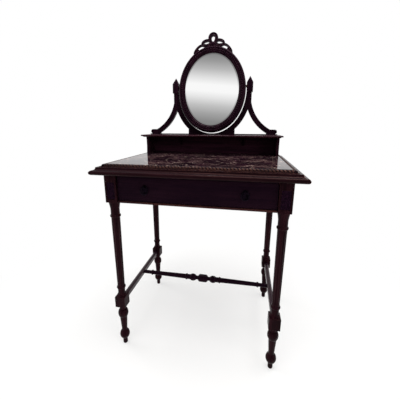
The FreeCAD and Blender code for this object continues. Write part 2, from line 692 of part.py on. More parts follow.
def top_board():
    """Board under the marble."""
    board = block(-MARBLE_HALF_WIDTH, MARBLE_HALF_WIDTH, MARBLE_FRONT_Y, MARBLE_BACK_Y,
                  TOP_UNDERSIDE, MARBLE_BOTTOM)
    holes = top_screws(RUN_GAP)
    return board.cut(holes + [mirrored(hole) for hole in holes])


def marble_top():
    """Slab let into the moulded edge."""
    return block(-MARBLE_HALF_WIDTH, MARBLE_HALF_WIDTH, MARBLE_FRONT_Y, MARBLE_BACK_Y,
                 MARBLE_BOTTOM, TABLE_HEIGHT)


def gradin_dowels(clearance=0.0):
    """Dowels from the back rail into the back board of the raised shelf."""
    middle_y = GRADIN_BACK_REAR - GRADIN_BACK_THICKNESS / 2
    depth = DOWEL_DEPTH + clearance
    feet = [Vector(side * DOWEL_SPACING / 2, middle_y, TABLE_HEIGHT - depth) for side in (-1, 1)]
    return [rod(DOWEL_DIAMETER + 2 * clearance, foot, Vector(0, 0, 1), 2 * depth) for foot in feet]


def top_back_rail():
    """Plain rail behind the marble."""
    rail = block(-MARBLE_HALF_WIDTH, MARBLE_HALF_WIDTH, MARBLE_BACK_Y, TOP_DEPTH / 2,
                 TOP_UNDERSIDE, TABLE_HEIGHT)
    return rail.cut(gradin_dowels(RUN_GAP))


# Raised shelf

def gradin_side():
    """Right side board with a hollow front edge."""
    middle = TABLE_HEIGHT + GRADIN_HEIGHT / 2
    face = outline(lambda y, z: Vector(GRADIN_INNER_X, y, z), (GRADIN_BACK_REAR, TABLE_HEIGHT), [
        (GRADIN_BACK_REAR, SHELF_BOTTOM),
        (GRADIN_FRONT_Y, SHELF_BOTTOM),
        ((GRADIN_FRONT_Y + GRADIN_SIDE_HOLLOW, middle), (GRADIN_FRONT_Y, TABLE_HEIGHT)),
    ])
    return face.extrude(Vector(GRADIN_SIDE_THICKNESS, 0, 0))


def gradin_back():
    """Back board between the side boards."""
    board = block(-GRADIN_INNER_X, GRADIN_INNER_X, GRADIN_BACK_FACE, GRADIN_BACK_REAR,
                  TABLE_HEIGHT, SHELF_BOTTOM)
    return board.cut(gradin_dowels(RUN_GAP))


def shelf_section(place):
    """Shelf edge: a hollow below, then a rounded nosing."""
    tip = (0.0, SHELF_BOTTOM + SHELF_HOLLOW_HEIGHT)
    brow = (0.0, SHELF_TOP - SHELF_NOSE_ROUND)
    return outline(place, (SHELF_EDGE_WIDTH, SHELF_BOTTOM), [
        rounded((SHELF_EDGE_WIDTH, SHELF_BOTTOM), tip),
        brow,
        rounded(brow, (SHELF_NOSE_ROUND, SHELF_TOP)),
        (SHELF_EDGE_WIDTH, SHELF_TOP),
    ])


def gradin_shelf():
    """Shelf board with a moulded edge on three sides."""
    core = block(-SHELF_HALF_WIDTH + SHELF_EDGE_WIDTH, SHELF_HALF_WIDTH - SHELF_EDGE_WIDTH,
                 SHELF_FRONT_Y + SHELF_EDGE_WIDTH, SHELF_BACK_Y, SHELF_BOTTOM, SHELF_TOP)
    front = front_run(shelf_section, SHELF_HALF_WIDTH, SHELF_FRONT_Y, SHELF_EDGE_WIDTH)
    right = side_run(shelf_section, SHELF_HALF_WIDTH, SHELF_FRONT_Y, SHELF_BACK_Y, SHELF_EDGE_WIDTH)
    board = core.fuse([front, right, mirrored(right)]).removeSplitter()
    return board.cut(stand_screws(RUN_GAP))


def shelf_bracket():
    """Small curved bracket under the shelf, on the right."""
    x = BRACKET_SPACING / 2 - BRACKET_THICKNESS / 2
    tip_y = GRADIN_BACK_FACE - BRACKET_REACH
    low = SHELF_BOTTOM - BRACKET_DROP
    brow = (tip_y, SHELF_BOTTOM - BRACKET_EDGE)
    face = outline(lambda y, z: Vector(x, y, z), (GRADIN_BACK_FACE, SHELF_BOTTOM), [
        (tip_y, SHELF_BOTTOM),
        brow,
        hollow(brow, (GRADIN_BACK_FACE - BRACKET_EDGE, low)),
        (GRADIN_BACK_FACE, low),
    ])
    return face.extrude(Vector(BRACKET_THICKNESS, 0, 0))


# Lyre stand

def stand_screws(clearance=0.0):
    """Screws from under the shelf into the base and the brace feet."""
    foot_x = BRACE_TOE_X - BRACE_FOOT_LENGTH / 2
    places = [side * x for x in (STAND_SCREW_SPACING / 2, foot_x) for side in (-1, 1)]
    length = SHELF_THICKNESS + SCREW_GRIP
    return [screw(Vector(x, STAND_Y, SHELF_BOTTOM), length + clearance, clearance) for x in places]


def arm_oval(half_width, half_height):
    """Oval plate through the thickness of the stand."""
    return oval_plate(half_width, half_height, STAND_FRONT, STAND_REAR)


def stand_base():
    """Block on a long plinth strip, hollowed to the oval, as wide as the arms that stand on it."""
    reach = ARM_OUTER_A * math.sqrt(1 - ((OVAL_LEVEL - BASE_TOP) / ARM_OUTER_B) ** 2)
    slab = block(-reach, reach, STAND_FRONT, STAND_REAR, SHELF_TOP, BASE_TOP)
    end = BRACE_TOE_X + BRACE_TOE_DIAMETER / 2 + STAND_PLINTH_LAP
    strip = block(-end, end, STAND_FRONT - STAND_PLINTH_LAP, STAND_REAR + STAND_PLINTH_LAP,
                  SHELF_TOP, PLINTH_TOP)
    return slab.fuse(strip).removeSplitter().cut([arm_oval(ARM_INNER_A, ARM_INNER_B)] + stand_screws(RUN_GAP))


def stand_arm():
    """Right arm: it follows the oval from the base up to a straight trunk."""
    lower = block(0, ARM_OUTER_A, STAND_FRONT, STAND_REAR, BASE_TOP, TRUNK_BOTTOM)
    trunk = block(0, ARM_OUTER_A, STAND_FRONT, STAND_REAR, TRUNK_BOTTOM, TRUNK_TOP)
    curved = arm_oval(ARM_OUTER_A, ARM_OUTER_B).common(lower)
    return curved.fuse(trunk).removeSplitter().cut(arm_oval(ARM_INNER_A, ARM_INNER_B))


def stand_brace():
    """Right brace: a curved bar from the trunk out to a foot with a round toe."""
    middle = Vector(BRACE_CENTRE_X, STAND_FRONT, BRACE_CENTRE_Z)
    along = Vector(0, 1, 0)
    ring = rod(2 * (BRACE_RADIUS + BRACE_WIDTH), middle, along, STAND_THICKNESS)
    ring = ring.cut(rod(2 * BRACE_RADIUS, middle, along, STAND_THICKNESS))
    window = block(0, BRACE_TOE_X, STAND_FRONT, STAND_REAR, PLINTH_TOP, TRUNK_BOTTOM)
    heel = block(BRACE_TOE_X - BRACE_FOOT_LENGTH, BRACE_TOE_X, STAND_FRONT, STAND_REAR,
                 PLINTH_TOP, PLINTH_TOP + BRACE_FOOT_HEIGHT)
    toe_middle = Vector(BRACE_TOE_X, STAND_FRONT, PLINTH_TOP + BRACE_TOE_DIAMETER / 2)
    toe = rod(BRACE_TOE_DIAMETER, toe_middle, along, STAND_THICKNESS)
    bar = ring.common(window).fuse([heel, toe]).removeSplitter()
    return bar.cut([stand_arm()] + stand_screws(RUN_GAP))


def finial():
    """Right finial: a square block with a pointed head, bored for the pivot socket."""
    outer = FINIAL_INNER_X + FINIAL_SIDE
    half = FINIAL_SIDE / 2
    shoulder = TRUNK_TOP + FINIAL_HEIGHT
    body = block(FINIAL_INNER_X, outer, STAND_Y - half, STAND_Y + half, TRUNK_TOP, shoulder)
    corners = [Vector(FINIAL_INNER_X + dx, STAND_Y - half + dy, shoulder)
               for dx, dy in ((0, 0), (FINIAL_SIDE, 0), (FINIAL_SIDE, FINIAL_SIDE), (0, FINIAL_SIDE))]
    tip = Vector(FINIAL_INNER_X + half, STAND_Y, shoulder + FINIAL_POINT_HEIGHT)
    faces = [Part.Face(Part.makePolygon(corners + corners[:1]))]
    for index in range(len(corners)):
        triangle = [corners[index - 1], corners[index], tip, corners[index - 1]]
        faces.append(Part.Face(Part.makePolygon(triangle)))
    point = Part.makeSolid(Part.makeShell(faces))
    bore = rod(PIVOT_DIAMETER + 2 * (SOCKET_WALL + 2 * RUN_GAP), Vector(FINIAL_INNER_X, STAND_Y, PIVOT_LEVEL),
               Vector(1, 0, 0), SOCKET_LENGTH)
    return body.fuse(point).removeSplitter().cut(bore)


def pivot_socket():
    """Brass bush in the right finial."""
    start = Vector(FINIAL_INNER_X, STAND_Y, PIVOT_LEVEL)
    along = Vector(1, 0, 0)
    bush = rod(PIVOT_DIAMETER + 2 * (SOCKET_WALL + RUN_GAP), start, along, SOCKET_LENGTH)
    return bush.cut(rod(PIVOT_DIAMETER + 2 * RUN_GAP, start, along, SOCKET_LENGTH))


# Mirror

def pivot_pin():
    """Right pivot pin with a collar between the frame and the finial."""
    start = Vector(FRAME_EDGE_AT_PIVOT - PIVOT_SEAT, STAND_Y, PIVOT_LEVEL)
    along = Vector(1, 0, 0)
    tip = FINIAL_INNER_X + SOCKET_LENGTH - PIN_END_GAP
    pin = rod(PIVOT_DIAMETER, start, along, tip - start.x)
    collar_start = FRAME_A + SLIDE_GAP
    collar = rod(PIVOT_COLLAR_DIAMETER, Vector(collar_start, STAND_Y, PIVOT_LEVEL), along,
                 FINIAL_INNER_X - SLIDE_GAP - collar_start)
    return pin.fuse(collar).removeSplitter()


def backboard_pins(clearance=0.0):
    """Small pins round the rebate that hold the back board."""
    pins = []
    y = BACKBOARD_REAR_Y + BACKBOARD_PIN_DIAMETER / 2 + 2 * RUN_GAP
    for count in range(BACKBOARD_PIN_COUNT):
        turn = 2 * math.pi * (count + 0.5) / BACKBOARD_PIN_COUNT
        wall = Vector(REBATE_A * math.cos(turn), y, OVAL_LEVEL + REBATE_B * math.sin(turn))
        outward = Vector(REBATE_B * math.cos(turn), 0, REBATE_A * math.sin(turn)).normalize()
        length = BACKBOARD_PIN_LENGTH + clearance
        start = wall - outward * (BACKBOARD_PIN_LENGTH / 2)
        pins.append(rod(BACKBOARD_PIN_DIAMETER + 2 * clearance, start, outward, length))
    return pins


def mirror_frame():
    """Oval frame with a rounded outer edge, a sloping inner edge and a rebate behind."""
    crown_a = FRAME_A - FRAME_ROUND
    crown_b = FRAME_B - FRAME_ROUND
    ease = FRAME_ROUND * (1 - QUARTER)
    outside = oval_tube([
        (FRAME_A, FRAME_B, FRAME_REAR_Y),
        (FRAME_A, FRAME_B, FRAME_FRONT_Y + FRAME_ROUND),
        (FRAME_A - ease, FRAME_B - ease, FRAME_FRONT_Y + ease),
        (crown_a, crown_b, FRAME_FRONT_Y),
    ])
    opening = oval_tube([
        (SIGHT_A, SIGHT_B, GLASS_FRONT_Y),
        (SIGHT_A + FRAME_LIP_DEPTH, SIGHT_B + FRAME_LIP_DEPTH, FRAME_FRONT_Y),
    ])
    rebate = oval_plate(REBATE_A, REBATE_B, GLASS_FRONT_Y, FRAME_REAR_Y)
    seat = Vector(FRAME_EDGE_AT_PIVOT - PIVOT_SEAT - RUN_GAP, STAND_Y, PIVOT_LEVEL)
    bore = rod(PIVOT_DIAMETER + 2 * RUN_GAP, seat, Vector(1, 0, 0), PIVOT_SEAT + FRAME_MEMBER)
    return outside.cut([opening, rebate, bore, mirrored(bore)] + backboard_pins(RUN_GAP))


def mirror_glass():
    """Bevelled oval glass."""
    a = REBATE_A - GLASS_PLAY
    b = REBATE_B - GLASS_PLAY
    edge_y = GLASS_FRONT_Y + GLASS_BEVEL_DEPTH
    inner = FRAME_LIP + GLASS_BEVEL_WIDTH
    return oval_tube([
        (a, b, GLASS_REAR_Y),
        (a, b, edge_y),
        (REBATE_A - inner, REBATE_B - inner, GLASS_FRONT_Y),
    ])


def mirror_backboard():
    """Oval board behind the glass."""
    return oval_plate(REBATE_A - GLASS_PLAY, REBATE_B - GLASS_PLAY, GLASS_REAR_Y, BACKBOARD_REAR_Y)


def crest_plate(half_width, half_height, rise, offset=0.0, tilt=0.0):
    """Oval through the thickness of the crest; rise and offset are from the top of the frame."""
    front = FRAME_FRONT_Y + CREST_FRONT_SETBACK
    rear = front + CREST_THICKNESS
    return oval_plate(half_width, half_height, front, rear, offset, CREST_LEVEL + rise, tilt)


def mirror_crest():
    """Pierced ribbon bow that stands on the frame."""
    solid = [crest_plate(CREST_LOOP_HALF_WIDTH, CREST_LOOP_HALF_HEIGHT, CREST_LOOP_RISE)]
    holes = [crest_plate(CREST_LOOP_HALF_WIDTH - CREST_LOOP_RIM, CREST_LOOP_HALF_HEIGHT - CREST_LOOP_RIM,
                         CREST_LOOP_RISE)]
    for side in (-1, 1):
        ear = (CREST_EAR_RISE, side * CREST_EAR_OFFSET, side * CREST_EAR_TILT)
        solid.append(crest_plate(CREST_EAR_HALF_WIDTH, CREST_EAR_HALF_HEIGHT, *ear))
        eye = (CREST_EAR_RISE, side * CREST_EAR_HOLE_OFFSET, side * CREST_EAR_TILT)
        holes.append(crest_plate(CREST_EAR_HOLE_HALF_WIDTH, CREST_EAR_HOLE_HALF_HEIGHT, *eye))
        slit = (CREST_SLIT_RISE, side * CREST_SLIT_OFFSET, side * CREST_SLIT_TILT)
        holes.append(crest_plate(CREST_SLIT_HALF_LENGTH, CREST_SLIT_HALF_WIDTH, *slit))
    skirt = crest_plate(CREST_SKIRT_HALF_WIDTH, CREST_SKIRT_HEIGHT, -CREST_SKIRT_DROP)
    frame = oval_plate(FRAME_A, FRAME_B, FRAME_FRONT_Y, FRAME_REAR_Y)
    return skirt.fuse(solid).removeSplitter().cut([frame] + holes)


# Assembly

def both_sides(name, right):
    """Left and right copies of a piece under one name each."""
    return {name + "_right": right, name + "_left": mirrored(right)}


def group(shapes):
    """Like pieces kept as separate solids in one node."""
    return Part.makeCompound(shapes)


def with_mirror(shapes):
    """Right-hand pieces and their left-hand copies as one group."""
    return group(shapes + [mirrored(shape) for shape in shapes])


def table_pieces():
    """Legs, stretchers, aprons and drawer carriage."""
    pieces = {}
    for end_name, end in (("front", -1), ("back", 1)):
        for side_name, side in (("left", -1), ("right", 1)):
            pieces["leg_" + end_name + "_" + side_name] = leg(side, end)
    pieces.update(both_sides("side_stretcher", side_stretcher()))
    pieces["cross_stretcher"] = cross_stretcher()
    pieces.update(both_sides("side_apron", side_apron()))
    pieces["back_apron"] = back_apron()
    pieces["front_top_rail"] = front_rail(HIGH_RAIL_BOTTOM, TOP_UNDERSIDE)
    pieces["front_bottom_rail"] = front_rail(HEAD_BOTTOM, LOW_RAIL_TOP)
    pieces.update(both_sides("drawer_runner", runner()))
    pieces.update(both_sides("drawer_kicker", kicker()))
    pieces["drawer_stops"] = with_mirror([drawer_stop()])
    return pieces


def top_pieces():
    """Marble, its board, moulded edge and bead."""
    half = TOP_WIDTH / 2
    front = -TOP_DEPTH / 2
    back = TOP_DEPTH / 2
    pieces = {"top_board": top_board(), "marble_top": marble_top(), "top_back_rail": top_back_rail()}
    pieces["top_screws"] = with_mirror(top_screws())
    pieces["top_moulding_front"] = front_run(edge_section, half, front, EDGE_WIDTH)
    pieces.update(both_sides("top_moulding", side_run(edge_section, half, front, back, EDGE_WIDTH)))
    pieces["rope_bead_front"] = front_run(bead_section, half, front, EDGE_WIDTH)
    pieces.update(both_sides("rope_bead", side_run(bead_section, half, front, back, EDGE_WIDTH)))
    return pieces


def gradin_pieces():
    """Raised shelf behind the marble."""
    pieces = {"gradin_back": gradin_back(), "gradin_shelf": gradin_shelf()}
    pieces.update(both_sides("gradin_side", gradin_side()))
    pieces.update(both_sides("shelf_bracket", shelf_bracket()))
    pieces["gradin_dowels"] = group(gradin_dowels())
    return pieces


def stand_pieces():
    """Lyre stand that carries the mirror."""
    pieces = {"stand_base": stand_base(), "stand_screws": group(stand_screws())}
    pieces.update(both_sides("stand_arm", stand_arm()))
    pieces.update(both_sides("stand_brace", stand_brace()))
    pieces.update(both_sides("finial", finial()))
    pieces["pivot_sockets"] = with_mirror([pivot_socket()])
    return pieces


def mirror_pieces():
    """Tilting mirror, leaning back about its pivots as it is left standing."""
    upright = {
        "mirror_frame": mirror_frame(),
        "mirror_glass": mirror_glass(),
        "mirror_backboard": mirror_backboard(),
        "backboard_pins": group(backboard_pins()),
        "mirror_crest": mirror_crest(),
        "pivot_pins": with_mirror([pivot_pin()]),
    }
    pivot = Vector(0, STAND_Y, PIVOT_LEVEL)
    return {name: shape.rotated(pivot, Vector(-1, 0, 0), MIRROR_LEAN) for name, shape in upright.items()}


def drawer_pieces():
    """Drawer with its two pulls."""
    places = pull_places()
    pieces = {"drawer_front": drawer_front(), "drawer_back": drawer_back(), "drawer_bottom": drawer_bottom()}
    pieces.update(both_sides("drawer_side", drawer_side()))
    pieces["pull_plates"] = group([pull_plate(place) for place in places])
    pieces["pull_posts"] = group([pull_post(place) for place in places])
    pieces["pull_nuts"] = group([pull_nut(place) for place in places])
    pieces["pull_ring_left"] = pull_ring(places[0])
    pieces["pull_ring_right"] = pull_ring(places[1])
    return pieces


def main():
    """Write every piece to its own file."""
    os.makedirs("parts", exist_ok=True)
    for make in (table_pieces, top_pieces, gradin_pieces, stand_pieces, mirror_pieces, drawer_pieces):
        for name, shape in make().items():
            shape.exportStep(os.path.join("parts", name + ".step"))


main()
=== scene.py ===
"""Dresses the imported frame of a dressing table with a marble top, a raised shelf and an oval tilting mirror.

Pieces are sized in millimetres in the frame of the CAD model: +X right, +Y back, +Z up, floor at zero.
Textures, lamps and the camera are sized in metres.
"""
import logging
import math
from collections.abc import Callable, Iterable, Mapping, Sequence
from dataclasses import dataclass
from enum import Enum

import bmesh
import bpy
from mathutils import Matrix, Vector


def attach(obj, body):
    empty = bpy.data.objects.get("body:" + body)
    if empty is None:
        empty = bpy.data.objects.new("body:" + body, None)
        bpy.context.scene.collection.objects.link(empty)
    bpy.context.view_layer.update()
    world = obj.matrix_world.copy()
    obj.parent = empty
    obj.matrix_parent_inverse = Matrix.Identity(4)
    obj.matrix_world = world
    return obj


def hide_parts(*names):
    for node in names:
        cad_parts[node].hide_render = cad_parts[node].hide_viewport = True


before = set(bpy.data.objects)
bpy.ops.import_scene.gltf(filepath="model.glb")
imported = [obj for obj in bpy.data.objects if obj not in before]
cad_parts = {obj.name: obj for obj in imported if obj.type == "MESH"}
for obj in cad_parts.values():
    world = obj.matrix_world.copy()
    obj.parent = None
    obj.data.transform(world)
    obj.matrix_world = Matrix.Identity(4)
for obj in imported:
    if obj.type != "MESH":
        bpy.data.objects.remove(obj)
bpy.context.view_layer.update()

LOG = logging.getLogger("dressing_table")
MM = 0.001
WHITE = (1.0, 1.0, 1.0, 1.0)

Colour = tuple[float, float, float, float]
Point = tuple[float, float, float]
Flat = tuple[float, float]
Span = tuple[float, float]


class Side(Enum):
    """Which half of the table a piece is on."""

    LEFT = -1
    RIGHT = 1

    @property
    def hand(self) -> str:
        """Ending of the names of its pieces."""
        return self.name.lower()


class End(Enum):
    """Whether a leg stands at the front or at the back."""

    FRONT = -1
    BACK = 1


class Fibre(Enum):
    """Axis that the fibres of a piece of wood run along."""

    ACROSS = 0
    DEPTH = 1
    UPRIGHT = 2

    def scales(self, along: float, across: float) -> Point:
        """Texture scale on each axis for a pattern drawn out along the fibres."""
        return tuple(along if axis == self.value else across for axis in range(3))


class Body(Enum):
    """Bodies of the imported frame."""

    TABLE = "table"
    DRAWER = "drawer"
    MIRROR = "mirror"
    LEFT_RING = "left_ring"
    RIGHT_RING = "right_ring"


class Slot(Enum):
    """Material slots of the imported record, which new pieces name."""

    MAHOGANY = "mahogany"
    MARBLE = "marble"
    BRONZE = "dark_bronze"
    DRAWER_WOOD = "drawer_wood"


def srgb(code: str) -> Colour:
    """Linear colour of an sRGB code.

    Args:
        code: Six hexadecimal digits.

    Returns:
        Red, green, blue and an alpha of 1.
    """
    shares = [int(code[at:at + 2], 16) / 255 for at in (0, 2, 4)]
    linear = [share / 12.92 if share <= 0.04045 else ((share + 0.055) / 1.055) ** 2.4 for share in shares]
    return (*linear, 1.0)


# Node trees

class Sock:
    """A node output that takes part in Python arithmetic."""

    def __init__(self, nodes: "Nodes", socket: bpy.types.NodeSocket | None) -> None:
        """Wraps one output socket, or none for a node that ends a tree."""
        self.nodes = nodes
        self.socket = socket

    def other(self, output: int | str) -> "Sock":
        """Another output of the same node."""
        return Sock(self.nodes, self.socket.node.outputs[output])

    def __add__(self, other: "float | Sock") -> "Sock":
        """Sum of two values."""
        return self.nodes.math("ADD", self, other)

    def __radd__(self, other: float) -> "Sock":
        """Sum with a number on the left."""
        return self.nodes.math("ADD", other, self)

    def __sub__(self, other: "float | Sock") -> "Sock":
        """Difference of two values."""
        return self.nodes.math("SUBTRACT", self, other)

    def __rsub__(self, other: float) -> "Sock":
        """Difference with a number on the left."""
        return self.nodes.math("SUBTRACT", other, self)

    def __mul__(self, other: "float | Sock") -> "Sock":
        """Product of two values."""
        return self.nodes.math("MULTIPLY", self, other)

    def __rmul__(self, other: float) -> "Sock":
        """Product with a number on the left."""
        return self.nodes.math("MULTIPLY", other, self)

    def __abs__(self) -> "Sock":
        """Size of a value without its sign."""
        return self.nodes.math("ABSOLUTE", self)

    def root(self) -> "Sock":
        """Square root of a value."""
        return self.nodes.math("SQRT", self)

    def smaller(self, other: "float | Sock") -> "Sock":
        """The smaller of two values."""
        return self.nodes.math("MINIMUM", self, other)

    def bigger(self, other: "float | Sock") -> "Sock":
        """The larger of two values."""
        return self.nodes.math("MAXIMUM", self, other)

    def remap(self, low: float, high: float) -> "Sock":
        """Smooth step from 0 at low to 1 at high.

        Args:
            low: Value that gives 0.
            high: Value that gives 1.

        Returns:
            The stepped value.
        """
        settings = {"interpolation_type": "SMOOTHSTEP"}
        inputs = {"Value": self, "From Min": low, "From Max": high}
        return self.nodes.node("ShaderNodeMapRange", settings, inputs)


Input = float | Sequence[float] | Sock


class Nodes:
    """Adds nodes to one emptied node tree."""

    def __init__(self, tree: bpy.types.NodeTree) -> None:
        """Empties the tree."""
        self.tree = tree
        self.tree.nodes.clear()

    def node(self, kind: str, settings: Mapping[str, object] | None = None,
             inputs: Mapping[int | str, Input] | None = None, output: int | str = 0) -> Sock:
        """Adds a node.

        Args:
            kind: Type name of the node.
            settings: Attributes, set before the sockets; "stops" holds positions and colours of a ramp.
            inputs: Values or links by socket name or number.
            output: Name or number of the output that is wanted.

        Returns:
            The wanted output.
        """
        made = self.tree.nodes.new(kind)
        for name, value in (settings or {}).items():
            if name == "stops":
                self.set_stops(made.color_ramp, value)
            else:
                setattr(made, name, value)
        for name, value in (inputs or {}).items():
            if isinstance(value, Sock):
                self.tree.links.new(value.socket, made.inputs[name])
            else:
                made.inputs[name].default_value = value
        return Sock(self, made.outputs[output] if made.outputs else None)

    @staticmethod
    def set_stops(ramp: bpy.types.ColorRamp, stops: Sequence[tuple[float, Colour]]) -> None:
        """Gives a ramp its positions and colours.

        Args:
            ramp: Ramp of a node.
            stops: Position and colour of each stop, in order.
        """
        while len(ramp.elements) < len(stops):
            ramp.elements.new(1.0)
        for element, (position, colour) in zip(ramp.elements, stops):
            element.position = position
            element.color = colour

    def math(self, operation: str, first: float | Sock, second: float | Sock = 0.0) -> Sock:
        """One Math node on one or two values."""
        return self.node("ShaderNodeMath", {"operation": operation}, {0: first, 1: second})

    def vector(self, operation: str, first: Input, second: Input = (0.0, 0.0, 0.0)) -> Sock:
        """One Vector Math node that gives a vector."""
        return self.node("ShaderNodeVectorMath", {"operation": operation}, {0: first, 1: second})

    def measure(self, operation: str, first: Input, second: Input = (0.0, 0.0, 0.0)) -> Sock:
        """One Vector Math node that gives a value, such as a length."""
        return self.vector(operation, first, second).other("Value")

    def mix(self, factor: float | Sock, first: Input, second: Input) -> Sock:
        """Colour between two colours, the first at a factor of 0 and the second at 1."""
        return self.node("ShaderNodeMix", {"data_type": "RGBA"}, {0: factor, 6: first, 7: second}, 2)

    def place(self) -> Sock:
        """Position on the object in metres."""
        return self.node("ShaderNodeTexCoord", output="Object")

    def noise(self, vector: Sock, scale: float = 1.0, detail: float = 3.0, roughness: float = 0.55,
              distortion: float = 0.0) -> Sock:
        """Noise texture.

        Args:
            vector: Where the noise is read.
            scale: Number of features in a unit.
            detail: Number of finer layers.
            roughness: Share of the finer layers.
            distortion: Amount of swirl.

        Returns:
            The value of the noise; its colour is the node's other output.
        """
        inputs = {"Vector": vector, "Scale": scale, "Detail": detail, "Roughness": roughness,
                  "Distortion": distortion}
        return self.node("ShaderNodeTexNoise", None, inputs)

    def edges(self, radius: float) -> Sock:
        """Mask that rises from 0 on flat surfaces towards edges.

        Args:
            radius: Radius in metres of the round that reaches the masked places.

        Returns:
            The mask.
        """
        eased = self.node("ShaderNodeBevel", {"samples": 4}, {"Radius": radius})
        facing = self.node("ShaderNodeNewGeometry", output="Normal")
        return 1.0 - self.measure("DOT_PRODUCT", eased, facing)

    def bump(self, height: Sock, strength: float, distance: float) -> Sock:
        """Normal of a surface that a height of 1 raises by the distance in metres."""
        inputs = {"Height": height, "Strength": strength, "Distance": distance}
        return self.node("ShaderNodeBump", None, inputs)

    def surface(self, inputs: Mapping[str, Input]) -> None:
        """Ends a material with a principled shader."""
        shader = self.node("ShaderNodeBsdfPrincipled", None, inputs)
        self.node("ShaderNodeOutputMaterial", None, {"Surface": shader})


def new_material(name: str) -> tuple[bpy.types.Material, Nodes]:
    """Starts a material.

    Args:
        name: Name of the material.

    Returns:
        The empty material and the builder of its nodes.
    """
    material = bpy.data.materials.new(name)
    material.use_nodes = True
    return material, Nodes(material.node_tree)


# Finishes

@dataclass(frozen=True)
class Wood:
    """Wood with drawn-out streaks, open pores and lighter edges, partly rubbed wear and partly a painted
    highlight.

    Each pair of scales holds the number of features in a metre along and across the fibres.
    """

    name: str
    fibre: Fibre
    deep: str = "0C040B"
    streak: str = "25101C"
    pore: str = "080306"
    rub: str = "55332A"
    rub_share: float = 0.5
    roughness: float = 0.32
    reflection: float = 0.045
    tint: str = "F0B4CE"
    broad_scales: Span = (4.0, 34.0)
    broad_share: float = 0.55
    streak_scales: Span = (8.0, 220.0)
    streak_roughness: float = 0.14
    streak_height: float = 0.35
    figure_span: Span = (0.32, 0.68)
    pore_scales: Span = (55.0, 1300.0)
    pit_span: Span = (0.58, 0.7)
    pit_share: float = 0.55
    pit_roughness: float = 0.12
    relief_strength: float = 0.12
    relief_depth: float = 0.0003
    worn_span: Span = (0.3, 0.62)
    edge_radius: float = 0.0016
    edge_span: Span = (0.02, 0.3)

    def material(self) -> bpy.types.Material:
        """Builds the finish.

        Returns:
            The material.
        """
        material, nodes = new_material(self.name)
        broad = nodes.noise(self.drawn(nodes, self.broad_scales), detail=4.0, distortion=0.8)
        streaks = nodes.noise(self.drawn(nodes, self.streak_scales), detail=5.0, roughness=0.65)
        pores = nodes.noise(self.drawn(nodes, self.pore_scales), detail=2.0)
        figure = (broad * self.broad_share + streaks * (1 - self.broad_share)).remap(*self.figure_span)
        pits = pores.remap(*self.pit_span)
        body = nodes.mix(figure, srgb(self.deep), srgb(self.streak))
        pored = nodes.mix(pits * self.pit_share, body, srgb(self.pore))
        # Edges lighter: partly rubbed wear, partly a painted highlight where the edges catch the light.
        rubbed = self.wear(nodes) * streaks.remap(*self.worn_span)
        uneven = streaks * self.streak_roughness + pits * self.pit_roughness
        height = streaks * self.streak_height - pits
        nodes.surface({
            "Base Color": nodes.mix(rubbed * self.rub_share, pored, srgb(self.rub)),
            "Roughness": uneven + (self.roughness - self.streak_roughness / 2),
            "Specular IOR Level": self.reflection,
            "Specular Tint": srgb(self.tint),
            "Normal": nodes.bump(height, self.relief_strength, self.relief_depth),
        })
        return material

    def drawn(self, nodes: Nodes, scales: Span) -> Sock:
        """Places for a pattern with these scales along and across the fibres."""
        return nodes.vector("MULTIPLY", nodes.place(), self.fibre.scales(*scales))

    def wear(self, nodes: Nodes) -> Sock:
        """Mask of the edges, where the polish is rubbed off and where a painted highlight stands in for the
        light they catch.
        """
        return nodes.edges(self.edge_radius).remap(*self.edge_span)


@dataclass(frozen=True)
class RopeWood(Wood):
    """Wood of the twisted bead, with a painted highlight, partly rubbed wear, on its strands and painted shade
    between them.
    """

    axis_x: float = 307.0
    axis_y: float = -215.0
    axis_level: float = 734.0
    groove_radius: float = 5.3
    strand_radius: float = 5.95

    def wear(self, nodes: Nodes) -> Sock:
        """Mask of the strands, which carry the painted highlight, by their distance from the axis of the bead.

        Args:
            nodes: Nodes of the material.

        Returns:
            The mask.
        """
        x = nodes.node("ShaderNodeSeparateXYZ", None, {0: nodes.place()})
        beside = abs(abs(x) - self.axis_x * MM)
        before = abs(x.other("Y") - self.axis_y * MM)
        across = beside.smaller(before)
        rise = x.other("Z") - self.axis_level * MM
        reach = (across * across + rise * rise).root()
        return reach.remap(self.groove_radius * MM, self.strand_radius * MM)


@dataclass(frozen=True)
class MattedWood:
    """Dark ground of a sunken panel, punched all over with a round tool."""

    name: str = "matted_mahogany"
    low: str = "030106"
    high: str = "2A1426"
    tint: str = "F0B4CE"
    reflection: float = 0.03
    roughness: float = 0.62
    polish: float = 0.18
    pitch: float = 0.0046
    scatter: float = 0.8
    punch_span: Span = (0.1, 0.75)
    punch_strength: float = 0.5
    punch_depth: float = 0.0005
    cloud_scale: float = 90.0
    cloud_share: float = 0.6

    def material(self) -> bpy.types.Material:
        """Builds the finish.

        Returns:
            The material.
        """
        material, nodes = new_material(self.name)
        place = nodes.place()
        inputs = {"Vector": place, "Scale": 1 / self.pitch, "Randomness": self.scatter}
        punched = nodes.node("ShaderNodeTexVoronoi", None, inputs).remap(*self.punch_span)
        clouds = nodes.noise(place, self.cloud_scale) * self.cloud_share + (1 - self.cloud_share)
        nodes.surface({
            # Darker in the punched pits: painted shade in the hollows, which follows the bump.
            "Base Color": nodes.mix(punched * clouds, srgb(self.low), srgb(self.high)),
            "Roughness": self.roughness - punched * self.polish,
            "Specular IOR Level": self.reflection,
            "Specular Tint": srgb(self.tint),
            "Normal": nodes.bump(punched, self.punch_strength, self.punch_depth),
        })
        return material


